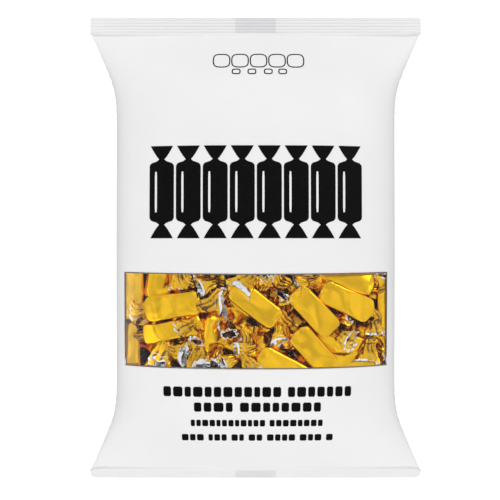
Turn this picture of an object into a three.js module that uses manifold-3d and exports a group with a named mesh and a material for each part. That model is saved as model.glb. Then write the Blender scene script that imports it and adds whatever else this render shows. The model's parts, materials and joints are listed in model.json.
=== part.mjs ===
// A sealed pillow bag of twist-wrapped caramels with a clear window, lying on its back.
// Millimetres, +Z up, +Y towards the bag's top seal. The origin is on the floor under its middle.
import * as THREE from "three";
import { ParametricGeometry } from "three/addons/geometries/ParametricGeometry.js";
import { mergeVertices } from "three/addons/utils/BufferGeometryUtils.js";
import Module from "manifold-3d";

const wasm = await Module();
wasm.setup();

// ---------------------------------------------------------------- the bag's driving dimensions
const BAG_LENGTH = 300; // cut edge to cut edge, as it lies
const SEAL_WIDTH = 215; // the tube of film where its ends are pressed flat
const BODY_WIDTH = 177.6; // the same tube where it is full
const BAG_HEIGHT = 70; // floor to the top of the front face
const MIDDLE_HEIGHT = 31; // floor to the widest line of the full tube
const SEAL_HEIGHT = 19; // floor to the two end seals
const SEAL_DEPTH = 10; // width of the crimped band of each end seal
const SEAL_THICKNESS = 1.1;
const TOP_SEAL_DROOP = THREE.MathUtils.degToRad(7);
const BOTTOM_SEAL_DROOP = THREE.MathUtils.degToRad(54); // folded down along its crease
const FLAT_STRIP = 2.2; // unsealed film between a seal and the crease where the body swells
const CORNER_RADIUS = 4.6; // the rounded corners of the bottom seal
const SIDE_SLOPE = 0.452; // how fast the sides draw in from the corners
const FRONT_SLOPE = 0.8; // how fast the front face rises from a seal
const BACK_SLOPE = 0.75;
const CRIMP_RIBS = 5;
const CRIMP_DEPTH = 0.3;

// The lapped seam down the back, pressed flat between the bag and the floor.
const SEAM_WIDTH = 28.3;
const SEAM_STEP = 0.7; // how far its underside lies below the film beside it

// ---------------------------------------------------------------- the clear window
const WINDOW_WIDTH = 163.1;
const WINDOW_TOP = -15.9; // Y of its upper edge
const WINDOW_BOTTOM = -73.2;
const POCKET_FLOOR = 37; // Z of the floor of the space behind it
const PANE_THICKNESS = 0.8;
const GAP = 0.35; // between solids that touch

// ---------------------------------------------------------------- one wrapped caramel
const CARAMEL = { length: 34.5, width: 15.5, height: 11.5, chamfer: 2.6 };
const TWIST = { gap: 3.7, waist: 4.4, length: 13.5, width: 15, depth: 8, pleat: 0.2 };
const DIVE = 60; // how steeply the caramels of which only a twist shows stand, in degrees
const HEAP_CORE_DEPTH = 13; // film to the top of the packed core under the caramels that show

// ---------------------------------------------------------------- mesh fineness
const AROUND = 56;
const BODY_ROWS = 24;
const TWIST_SIDES = 10;
const TAU = Math.PI * 2;

const TOP_LINE = BAG_LENGTH / 2 - SEAL_DEPTH * Math.cos(TOP_SEAL_DROOP);
const BOTTOM_LINE = -BAG_LENGTH / 2 + SEAL_DEPTH * Math.cos(BOTTOM_SEAL_DROOP);
const NARROWING = (SEAL_WIDTH - BODY_WIDTH) / 2;

// ================================================================ the shape of the filled film

// Climbs as t does, then levels off at 1: the higher the power, the tighter the bend.
const level = (t, power) => t / (1 + t ** power) ** (1 / power);

// Cosine and sine of an angle, exactly 0 at the quarter turns.
const turn = (angle) =>
  [Math.cos(angle), Math.sin(angle)].map((value) => (Math.abs(value) < 1e-9 ? 0 : value));

// A power that keeps the sign: below 1 it squares a circle off.
const bulge = (value, power) => Math.sign(value) * Math.abs(value) ** power;

// 0 at each seal and about 1 along the full middle, reached over the given distance.
function between(y, reach, power, strip = FLAT_STRIP) {
  const fromTop = Math.max(0, TOP_LINE - strip - y);
  const fromBottom = Math.max(0, y - BOTTOM_LINE - strip);
  return level(fromTop / reach, power) * level(fromBottom / reach, power);
}

// The tube's half width at y: it draws in evenly from the seals' corners, then runs straight.
function halfWidth(y) {
  const past = Math.max(0, Math.min(TOP_LINE - y, y - BOTTOM_LINE));
  const drawn = past + 0.8 * (1 - Math.exp(-past));
  return SEAL_WIDTH / 2 - NARROWING * level((drawn * SIDE_SLOPE) / NARROWING, 7);
}

// The tube's section at y: half width, heights of its widest line, swell up and down, roundness.
function sectionAt(y) {
  const rise = BAG_HEIGHT - MIDDLE_HEIGHT;
  const drop = MIDDLE_HEIGHT + 3;
  const reach = rise / FRONT_SLOPE;
  const strip = FLAT_STRIP / 4;
  const full = between(y, 55, 2.2);
  return {
    half: halfWidth(y),
    middle: SEAL_HEIGHT + (MIDDLE_HEIGHT - SEAL_HEIGHT) * between(y, 42, 2.2),
    rise: (rise * between(y, reach, 2.6, strip)) / between(0, reach, 2.6),
    drop: drop * between(y, drop / BACK_SLOPE, 2.6),
    across: 2 + 0.6 * full,
    front: 1 + 1.7 * full,
    back: 1 + 2.4 * full,
  };
}

// Height of the front film over a point of the floor.
function filmHeight(x, y) {
  const s = sectionAt(y);
  const inward = Math.max(0, 1 - Math.abs(x / s.half) ** s.across);
  return s.middle + SEAL_THICKNESS / 2 + s.rise * inward ** (1 / s.front);
}

function filmNormal(x, y) {
  const step = 0.5;
  const slopeX = (filmHeight(x + step, y) - filmHeight(x - step, y)) / (2 * step);
  const slopeY = (filmHeight(x, y + step) - filmHeight(x, y - step)) / (2 * step);
  return new THREE.Vector3(-slopeX, -slopeY, 1).normalize();
}

// A point of the filled tube, at an angle round it: 0 at +X, a quarter turn on the front face.
function bodyPoint(y, angle, thickness, target) {
  const s = sectionAt(y);
  const [across, up] = turn(angle);
  const x = s.half * bulge(across, 2 / s.across);
  const skin = (thickness / 2) * bulge(up, 0.06);
  const swell = up > 0 ? s.rise * bulge(up, 2 / s.front) : s.drop * bulge(up, 2 / s.back);
  return target.set(x, y, Math.max(SEAM_STEP, s.middle + skin + swell));
}

// A point of an end seal, the given distance past its inner edge. end is 1 at the top, -1 below.
function sealPoint(end, past, rib, angle, thickness, target) {
  const droop = end > 0 ? TOP_SEAL_DROOP : BOTTOM_SEAL_DROOP;
  const line = end > 0 ? TOP_LINE : BOTTOM_LINE;
  const [across, up] = turn(angle);
  const skin = (thickness / 2) * bulge(up, 0.06) + rib;
  const round = end < 0 ? Math.max(0, past - SEAL_DEPTH + CORNER_RADIUS) : 0;
  const half = SEAL_WIDTH / 2 - CORNER_RADIUS + Math.sqrt(CORNER_RADIUS ** 2 - round ** 2);
  return target.set(
    half * across,
    line + end * (past * Math.cos(droop) + skin * Math.sin(droop)),
    SEAL_HEIGHT - past * Math.sin(droop) + skin * Math.cos(droop),
  );
}

// Every row of the film, from the bottom cut edge to the top one. The first and last close it.
function filmRows() {
  const seal = (end) => {
    const steps = CRIMP_RIBS * 2;
    const rows = [];
    for (let i = 1; i <= steps; i++) {
      const rib = i === steps ? 0 : CRIMP_DEPTH * (i % 2 ? 1 : -1);
      rows.push({ end, past: (SEAL_DEPTH * i) / steps, rib, thickness: SEAL_THICKNESS });
    }
    return [...rows, { ...rows.at(-1), thickness: 0 }];
  };
  const body = [];
  for (let i = 0; i <= BODY_ROWS; i++) {
    const share = (1 - Math.cos((Math.PI * i) / BODY_ROWS)) / 2;
    const y = BOTTOM_LINE + (TOP_LINE - BOTTOM_LINE) * share;
    body.push({ y, thickness: SEAL_THICKNESS });
  }
  return [...seal(-1).reverse(), ...body, ...seal(1)];
}

function filmGeometry() {
  const rows = filmRows();
  const place = (u, v, target) => {
    const row = rows[Math.round(v * (rows.length - 1))];
    const angle = -TAU * u;
    return row.end
      ? sealPoint(row.end, row.past, row.rib, angle, row.thickness, target)
      : bodyPoint(row.y, angle, row.thickness, target);
  };
  return new ParametricGeometry(place, AROUND, rows.length - 1);
}

// A block over a rectangle of the floor, between two surfaces z = top(x, y) and z = bottom(x, y).
function blockBetween({ halfWidth, from, to, top, bottom, columns, rows }) {
  const geometry = new THREE.BoxGeometry(halfWidth * 2, to - from, 1, columns, rows, 1);
  geometry.translate(0, (from + to) / 2, 0);
  const points = geometry.attributes.position;
  for (let i = 0; i < points.count; i++) {
    const x = points.getX(i);
    const y = points.getY(i);
    points.setZ(i, points.getZ(i) > 0 ? top(x, y) : bottom(x, y));
  }
  return geometry;
}

// The lapped back seam, from one end seal to the other, just proud of the back film.
function seamGeometry() {
  const underside = (x, y) => {
    const s = sectionAt(y);
    return Math.max(0, s.middle - s.drop - SEAL_THICKNESS / 2 - SEAM_STEP);
  };
  return blockBetween({
    halfWidth: SEAM_WIDTH / 2,
    from: BOTTOM_LINE + FLAT_STRIP,
    to: TOP_LINE - FLAT_STRIP,
    top: (x, y) => underside(x, y) + SEAM_STEP + SEAL_THICKNESS * 0.6,
    bottom: underside,
    columns: 1,
    rows: 30,
  });
}

// The window's outline drawn in by a margin, as a block that follows the film.
function windowBlock(margin, top, bottom, columns = 22, rows = 6) {
  return blockBetween({
    halfWidth: WINDOW_WIDTH / 2 - margin,
    from: WINDOW_BOTTOM + margin,
    to: WINDOW_TOP - margin,
    top,
    bottom,
    columns,
    rows,
  });
}

// ================================================================ the wrapped caramels

// The caramels whose bodies show in the window. x, y: the middle of each, in the bag's frame.
// yaw: turn from +X, in degrees. roll: turn about its own length. pitch: how far its +X end points
// up. deep: how far it lies below the film. left, right: each twist's lean sideways and its lift.
const SHOWN_CARAMELS = [
  { x: -76.9, y: -27, yaw: 90, roll: 4, deep: 2.9, left: [0, -80] },
  { x: -79.4, y: -63.9, yaw: 91, roll: 4, deep: 3.2, right: [0, -80] },
  { x: -50.9, y: -35.3, yaw: 9, deep: 0.4, left: [-6, -80], right: [4, 4] },
  { x: -51.9, y: -51.2, yaw: 10, roll: 84, deep: 1.2, left: [0, -80], right: [16, 8] },
  { x: -59.9, y: -14.6, yaw: 83, roll: 24, deep: 4, left: [0, -10] },
  { x: -47, y: -9.6, yaw: 97, roll: 34, deep: 4.5 },
  { x: -0.7, y: -34.5, yaw: -38, roll: -8, deep: 0.6, left: [0, -40], right: [-40, -20] },
  { x: -6, y: -43.4, yaw: -36, roll: 30, deep: 10, left: [0, -30], right: [0, -30] },
  { x: 35.6, y: -38.5, yaw: -47, roll: 3, deep: 0.4, left: [24, 0], right: [22, 44] },
  { x: 36, y: -63.7, yaw: -49, roll: -3, deep: 0.9, left: [22, 8] },
  { x: 55.6, y: -32.3, yaw: -25, roll: 3, deep: 0.5, left: [0, -10], right: [-68, 4] },
  { x: 56.2, y: -18.2, yaw: -20, roll: -12, deep: 5, left: [0, 4], right: [40, 6] },
  { x: 16.7, y: -74, yaw: -28, roll: -12, deep: 1.1, left: [-12, 6] },
  { x: 82.2, y: -36.5, yaw: 90, roll: -4, deep: 0.4 },
  { x: 53.1, y: -60.1, yaw: -8, roll: 10, deep: 9 },
  { x: 58.5, y: -72.4, yaw: 4, roll: -12, deep: 5.5 },
  { x: -28.4, y: -56.8, yaw: 76, roll: 32, pitch: 12, deep: 5, left: [0, -20] },
  { x: -64.5, y: -76.8, yaw: 52, roll: 20, deep: 4.5, right: [6, 4] },
];

// The caramels of which one twist shows. x, y: the middle of that twist. toward: the way that it
// points, in degrees from +X. rise: how far it points up. size: its scale beside the others.
const SHOWN_TWISTS = [
  { x: -30.8, y: -22, toward: 195, rise: 16, deep: 3, size: 0.9 },
  { x: -6.7, y: -22.3, toward: 228, rise: 12, deep: 2.2, size: 1.15 },
  { x: 78.5, y: -20.4, toward: 70, rise: 28, deep: 3, size: 0.9 },
  { x: 69.6, y: -65.5, toward: 264, rise: 8, deep: 2, size: 1 },
  { x: -7.5, y: -62, toward: 190, rise: 10, deep: 3, size: 0.9 },
  { x: -57.6, y: -65.8, toward: 250, rise: 20, deep: 2, size: 1.1 },
  { x: -34.5, y: -67.6, toward: 272, rise: 14, deep: 1.6, size: 1.05 },
];

// One end of a wrapper, from the caramel outwards to the rim of its twist and back inside it.
function endRings() {
  const face = CARAMEL.length / 2;
  const waist = face + TWIST.gap;
  const half = { w: CARAMEL.width / 2, h: CARAMEL.height / 2 };
  return [
    { at: face - CARAMEL.chamfer, w: half.w, h: half.h, boxy: 5 },
    { at: face, w: half.w * 0.74, h: half.h * 0.66, boxy: 3 },
    { at: waist, w: TWIST.waist / 2, h: TWIST.waist / 2.6, boxy: 2 },
    { at: waist + TWIST.length * 0.5, w: TWIST.width * 0.33, h: TWIST.depth * 0.4, pleat: 1 },
    { at: waist + TWIST.length, w: TWIST.width / 2, h: TWIST.depth / 2, pleat: 1 },
    { at: waist + TWIST.length * 0.55, w: 0, h: 0 },
  ];
}

// The whole wrapper as one closed loft along X, with each twist bent by its own lean and lift.
function wrapperGeometry(...bends) {
  const waist = CARAMEL.length / 2 + TWIST.gap;
  const rings = [
    ...endRings().reverse().map((ring) => ({ ...ring, side: 0 })),
    ...endRings().map((ring) => ({ ...ring, side: 1 })),
  ];
  const place = (u, v, target) => {
    const ring = rings[Math.round(v * (rings.length - 1))];
    const angle = TAU * u;
    const power = 2 / (ring.boxy ?? 2);
    const fold = ring.pleat ? 1 + TWIST.pleat * Math.cos((angle * TWIST_SIDES) / 2) : 1;
    const [across, up] = turn(angle).map((value) => bulge(value, power));
    const [lean, lift] = bends[ring.side].map(THREE.MathUtils.degToRad);
    target.set(Math.max(0, ring.at - waist), ring.w * fold * across, ring.h * fold * up);
    if (ring.at > waist) {
      target.applyAxisAngle(new THREE.Vector3(0, 1, 0), -lift);
      target.applyAxisAngle(new THREE.Vector3(0, 0, 1), ring.side ? lean : -lean);
    }
    target.x = (target.x + Math.min(ring.at, waist)) * (ring.side ? 1 : -1);
    return target;
  };
  return new ParametricGeometry(place, TWIST_SIDES, rings.length - 1);
}

// Lays a caramel under the film: its own Z leans part of the way to the film's normal, then yaw,
// pitch and roll.
function caramelPlacement({ x, y, yaw, roll = 0, pitch = 0, deep }) {
  const up = new THREE.Vector3(0, 0, 1);
  const normal = up.clone().lerp(filmNormal(x, y), 0.4).normalize();
  const lying = new THREE.Quaternion().setFromUnitVectors(up, normal);
  const [turned, tip, spin] = [yaw, -pitch, roll].map(THREE.MathUtils.degToRad);
  const own = new THREE.Quaternion().setFromEuler(new THREE.Euler(spin, tip, turned, "ZYX"));
  const thick = Math.hypot(
    (CARAMEL.height / 2) * Math.cos(spin),
    (CARAMEL.width / 2) * Math.sin(spin),
  );
  const z = filmHeight(x, y) - (thick + deep + PANE_THICKNESS) / normal.z;
  const middle = new THREE.Vector3(x, y, z);
  return new THREE.Matrix4().compose(middle, lying.multiply(own), new THREE.Vector3(1, 1, 1));
}

// Lays a caramel so that its right twist is at a spot under the film and its body dives from it.
function twistPlacement({ x, y, toward, rise, deep, size }) {
  const [heading, dive, bend] = [toward, DIVE, rise - DIVE].map(THREE.MathUtils.degToRad);
  const reach = TWIST.length * 0.55;
  const middle = CARAMEL.length / 2 + TWIST.gap + reach * Math.cos(bend);
  return new THREE.Matrix4()
    .makeTranslation(x, y, filmHeight(x, y) - deep)
    .multiply(new THREE.Matrix4().makeRotationZ(heading))
    .multiply(new THREE.Matrix4().makeRotationY(-dive))
    .multiply(new THREE.Matrix4().makeScale(size, size, size))
    .multiply(new THREE.Matrix4().makeTranslation(-middle, 0, -reach * Math.sin(bend)));
}

// ================================================================ solids

// A closed geometry as a solid that can be joined and cut.
function solidOf(geometry) {
  geometry.deleteAttribute("normal");
  geometry.deleteAttribute("uv");
  const merged = mergeVertices(geometry, 1e-3);
  const triVerts = [];
  for (let i = 0; i < merged.index.count; i += 3) {
    const [a, b, c] = [0, 1, 2].map((k) => merged.index.getX(i + k));
    if (a !== b && b !== c && c !== a) triVerts.push(a, b, c);
  }
  return new wasm.Manifold(
    new wasm.Mesh({
      numProp: 3,
      vertProperties: merged.attributes.position.array,
      triVerts: new Uint32Array(triVerts),
    }),
  );
}

// The largest body of a solid, without the scraps that a cut leaves.
const largestOf = (solid) =>
  solid.decompose().reduce((best, body) => (body.volume() > best.volume() ? body : best));

function meshOf(name, solid, material) {
  const cut = solid.getMesh();
  const geometry = new THREE.BufferGeometry()
    .setAttribute("position", new THREE.BufferAttribute(cut.vertProperties, 3))
    .setIndex(new THREE.BufferAttribute(cut.triVerts, 1));
  geometry.computeVertexNormals();
  const mesh = new THREE.Mesh(geometry, material);
  mesh.name = name;
  return mesh;
}

// The white film with its back seam, hollowed behind the window.
function bagSolid() {
  const pocket = windowBlock(0, (x, y) => filmHeight(x, y) + 8, () => POCKET_FLOOR);
  return solidOf(filmGeometry()).add(solidOf(seamGeometry())).subtract(solidOf(pocket));
}

// The clear part of the film.
function windowSolid() {
  const inside = (x, y) => filmHeight(x, y) - PANE_THICKNESS;
  return solidOf(windowBlock(GAP, filmHeight, inside, 22, 4));
}

// The caramels behind the window: those that show, joined on a packed core with an uneven top.
function caramelsSolid() {
  const under = (depth) => (x, y) => filmHeight(x, y) - PANE_THICKNESS - depth;
  const lumpy = (x, y) => under(HEAP_CORE_DEPTH)(x, y) + 1.4 * Math.sin(x / 5) * Math.cos(y / 4.5);
  const floor = () => POCKET_FLOOR + GAP;
  const limit = solidOf(windowBlock(GAP, under(GAP), floor));
  const core = solidOf(windowBlock(GAP, lumpy, floor));
  const straight = [0, 0];
  const wrappers = [
    ...SHOWN_CARAMELS.map((caramel) =>
      wrapperGeometry(caramel.left ?? straight, caramel.right ?? straight).applyMatrix4(
        caramelPlacement(caramel),
      ),
    ),
    ...SHOWN_TWISTS.map((twist) =>
      wrapperGeometry(straight, [0, twist.rise - DIVE]).applyMatrix4(twistPlacement(twist)),
    ),
  ];
  const joined = wrappers.reduce((heap, wrapper) => heap.add(solidOf(wrapper)), core);
  return largestOf(joined.intersect(limit));
}

// ================================================================ finishes

const whiteFilm = new THREE.MeshStandardMaterial({ color: 0xf1f1f3, roughness: 0.38 });
const clearFilm = new THREE.MeshStandardMaterial({
  color: 0xffffff,
  roughness: 0.08,
  transparent: true,
  opacity: 0.2,
});
const goldFoil = new THREE.MeshStandardMaterial({
  color: 0xe2a51c,
  roughness: 0.28,
  metalness: 1,
});

const group = new THREE.Group();
group.add(
  meshOf("bag", bagSolid(), whiteFilm),
  meshOf("window", windowSolid(), clearFilm),
  meshOf("caramels", caramelsSolid(), goldFoil),
);

export default group;
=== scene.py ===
"""A white pillow bag of gold-wrapped caramels with a clear window, lying on its back."""

import json
from math import cos, pi, radians, sin

import bpy
import numpy as np
from bpy.props import (
    FloatProperty,
    FloatVectorProperty,
    IntProperty,
    PointerProperty,
)
from bpy.types import Operator, Panel, PropertyGroup
from mathutils import Matrix, Vector

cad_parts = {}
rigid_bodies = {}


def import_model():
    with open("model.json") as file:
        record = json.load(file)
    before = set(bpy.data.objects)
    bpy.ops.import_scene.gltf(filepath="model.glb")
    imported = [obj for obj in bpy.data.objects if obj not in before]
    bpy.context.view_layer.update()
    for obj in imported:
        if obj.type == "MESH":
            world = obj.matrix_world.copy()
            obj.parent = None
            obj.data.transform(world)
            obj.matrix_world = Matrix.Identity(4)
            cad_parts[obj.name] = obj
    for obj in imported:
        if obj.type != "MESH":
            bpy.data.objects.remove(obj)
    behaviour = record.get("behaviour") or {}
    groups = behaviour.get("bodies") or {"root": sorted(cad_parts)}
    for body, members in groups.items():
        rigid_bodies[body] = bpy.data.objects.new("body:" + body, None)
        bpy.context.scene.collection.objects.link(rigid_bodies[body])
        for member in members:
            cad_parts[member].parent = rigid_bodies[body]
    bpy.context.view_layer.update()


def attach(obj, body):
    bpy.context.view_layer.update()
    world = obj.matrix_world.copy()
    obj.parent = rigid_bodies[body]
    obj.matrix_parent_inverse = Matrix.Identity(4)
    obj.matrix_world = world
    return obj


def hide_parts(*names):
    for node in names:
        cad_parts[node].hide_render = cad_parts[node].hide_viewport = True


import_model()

bl_info = {
    "name": "Bag of Wrapped Caramels",
    "version": (1, 0, 0),
    "blender": (4, 5, 0),
    "location": "View3D > Sidebar > Sweets",
    "description": "Builds a sealed pillow bag of twist-wrapped caramels, piece by piece",
    "category": "Object",
}

MM = 0.001
TAU = 2 * pi


# ------------------------------------------------------------------ sizes and colours


def length(name, description, millimetres):
    """A length that the user can change, in metres."""
    return FloatProperty(
        name=name, description=description, default=millimetres * MM, unit="LENGTH", precision=4
    )


def angle(name, description, turn):
    """An angle that the user can change, given in degrees."""
    return FloatProperty(name=name, description=description, default=radians(turn), unit="ROTATION")


def factor(name, description, value):
    """A plain number that the user can change."""
    return FloatProperty(name=name, description=description, default=value, subtype="FACTOR")


def colour(name, description, value):
    """A linear colour that the user can change."""
    return FloatVectorProperty(
        name=name, description=description, default=value, size=3, min=0, max=1, subtype="COLOR"
    )


def direction(name, description, value):
    """A direction that the user can change."""
    return FloatVectorProperty(
        name=name, description=description, default=value, size=3, subtype="DIRECTION"
    )


class BagSettings(PropertyGroup):
    """The film tube, its two crimped ends and the window in its front."""

    bag_length: length("Length", "Cut edge to cut edge, as it lies", 300)
    seal_width: length("Seal width", "The tube of film where its ends are pressed flat", 215)
    body_width: length("Body width", "The same tube where it is full", 177.6)
    height: length("Height", "Floor to the top of the front", 70)
    middle_height: length("Middle height", "Floor to the widest line of the tube", 31)
    seal_height: length("Seal height", "Floor to the two end seals", 19)
    seal_depth: length("Seal depth", "Width of the crimped band of each end", 10)
    seal_thickness: length("Seal thickness", "Both layers of film with their crimp", 0.8)
    top_droop: angle("Top droop", "How far the top seal hangs below level", 7)
    bottom_droop: angle("Bottom droop", "How far the bottom seal is folded down", 54)
    flat_strip: length("Flat strip", "Unsealed film between a seal and its crease", 2.2)
    crease_depth: length("Crease depth", "Groove where the body swells from the strip", 0.6)
    rib_pitch: length("Rib pitch", "Spacing of the crimp's ribs", 2)
    rib_depth: length("Rib depth", "How deep the grooves between the ribs are", 0.27)
    corner_radius: length("Corner radius", "The rounded corners of the bottom seal", 4.6)
    seam_width: length("Seam width", "The lapped seam down the back", 28.3)
    seam_step: length("Seam step", "How far the seam lies below the film beside it", 0.7)
    edge_fold: length("Edge fold", "How far the side edges hang down near the seals", 1.5)
    side_slope: factor("Side slope", "How fast the sides draw in from the corners", 0.452)
    front_slope: factor("Front slope", "How fast the front rises from a seal", 0.8)
    back_slope: factor("Back slope", "How fast the back drops from a seal", 0.75)
    window_width: length("Window width", "The clear strip, side to side", 163.1)
    window_top: length("Window top", "Its corners' place, towards the top seal", -15.3)
    window_bottom: length("Window bottom", "The same towards the bottom seal", -72.65)
    window_bow: length("Window bow", "How far its long edges curve down at the middle", 0.95)
    pocket_floor: length("Pocket floor", "Height of the bottom of what shows inside", 31)
    film_colour: colour("Film", "The white printed film", (0.717, 0.716, 0.716))
    pane_colour: colour("Window film", "The haze of the clear film", (0.16, 0.15, 0.15))
    haze: factor("Haze", "How much of the clear film shows", 0.035)
    # painted sheen: the clear film whiter and less clear at the window's left end, for the light it
    # reflects there
    left_sheen: factor("Left haze", "The same at the window's left end", 0.07)
    inside_colour: colour("Inside", "The shade deep between the sweets", (0.06, 0.032, 0.022))
    # painted shade: the film's inner side on the pocket's walls, coloured a brownish grey for the
    # shade inside the bag
    wall_shade_colour: colour("Film's back", "The film's inner side at the window", (0.42, 0.34, 0.24))
    # painted shade: a grey band where the back seam's layers lie in the end seals
    seam_shade_colour: colour("Seam ends", "The seam's layers in the end seals", (0.625, 0.62, 0.635))


class SweetSettings(PropertyGroup):
    """One wrapped caramel, and how the hidden ones are strewn."""

    body_length: length("Body length", "One caramel in its wrapper, without the twists", 34.5)
    body_width: length("Body width", "Across the caramel", 15.5)
    body_height: length("Body height", "Thickness of the caramel", 11.5)
    neck_width: length("Neck width", "The tight middle of a twist", 4.4)
    twist_length: length("Twist length", "Neck to the cut edge of the wrapper", 13.5)
    twist_width: length("Twist width", "The fanned cut edge, side to side", 15)
    twist_depth: length("Twist depth", "The fanned cut edge, front to back", 8)
    gold_colour: colour("Gold", "The foil's outer side", (0.92, 0.54, 0.014))
    # amber and brown are painted shade: the foil's gold darkened where it is gathered and in its
    # creases, for the shade and the warmer light caught there
    gathered_shade_colour: colour("Amber", "The foil's outer side where it is gathered", (0.70, 0.37, 0.02))
    crease_shade_colour: colour("Brown", "The foil's outer side deep in its creases", (0.13, 0.058, 0.028))
    silver_colour: colour("Silver", "The foil's lining", (0.80, 0.82, 0.86))
    hidden_count: IntProperty(
        name="Hidden sweets", description="Sweets strewn under those that show", default=64, min=1
    )
    seed: IntProperty(name="Seed", description="Picks how the hidden sweets lie", default=11)


class PrintSettings(PropertyGroup):
    """The black print on the front."""

    ink_height: length("Ink height", "How far the print stands off the film", 0.1)
    ink_colour: colour("Ink", "The black print", (0.002, 0.002, 0.002))
    outline_width: length("Outline width", "The thin line round the window", 0.6)
    outline_colour: colour("Outline", "The line round the window", (0.12, 0.105, 0.09))


class StudioSettings(PropertyGroup):
    """The floor, the light and the camera."""

    sky_strength: factor("Sky strength", "Brightness of the light from overhead", 1.065)
    sheen: FloatVectorProperty(
        name="Sheen",
        description="Least and most light from overhead that shines back from the foil",
        default=(0.68, 1.16),
        size=2,
    )
    end_strength: factor("End strength", "Brightness of the low light past the seals", 3.2)
    side_strength: factor("Side strength", "Brightness of the low light at the sides", 1.06)
    side_glow: factor("Side glow", "How bright the foil sees each side, low down", 1.0)
    lamp_right: direction("Right lamp", "Where the brighter lamp is", (0.55, 0.55, 0.63))
    lamp_left: direction("Left lamp", "Where the weaker lamp is", (-0.7, -0.35, 0.62))
    lamp_strength: factor("Lamp strength", "Brightness of the brighter lamp", 2.8)
    floor_glow: factor("Floor glow", "How much brighter the camera sees it than it is", 0.8)
    floor_colour: colour("Floor", "The white floor", (0.4, 0.4, 0.4))
    camera_height: length("Camera height", "Floor to the camera", 850)
    camera_x: length("Camera X", "Camera's place across the bag", -3.6)
    camera_y: length("Camera Y", "Camera's place along the bag", -1.0)
    view_width: length("View width", "What the camera takes in at the seals' height", 325)


# ------------------------------------------------------------------ the film's shape


def level(t, power):
    """Climbs as t does, then levels off at 1: the higher the power, the tighter the bend."""
    return t / (1 + t**power) ** (1 / power)


def ripple(seed, wavelength, *axes, waves=9):
    """Smooth seeded noise from about -1 to 1 over the given coordinates: waves of about the
    given length that run all ways."""
    draw = np.random.default_rng(seed)
    total = 0
    for _ in range(waves):
        way = draw.normal(size=len(axes))
        way *= draw.uniform(0.7, 1.5) / (np.linalg.norm(way) * wavelength)
        phase = draw.uniform(0, TAU)
        total = total + np.cos(TAU * sum(w * a for w, a in zip(way, axes)) + phase)
    usual_height = 1.4 * waves**0.5
    return total / usual_height


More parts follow.
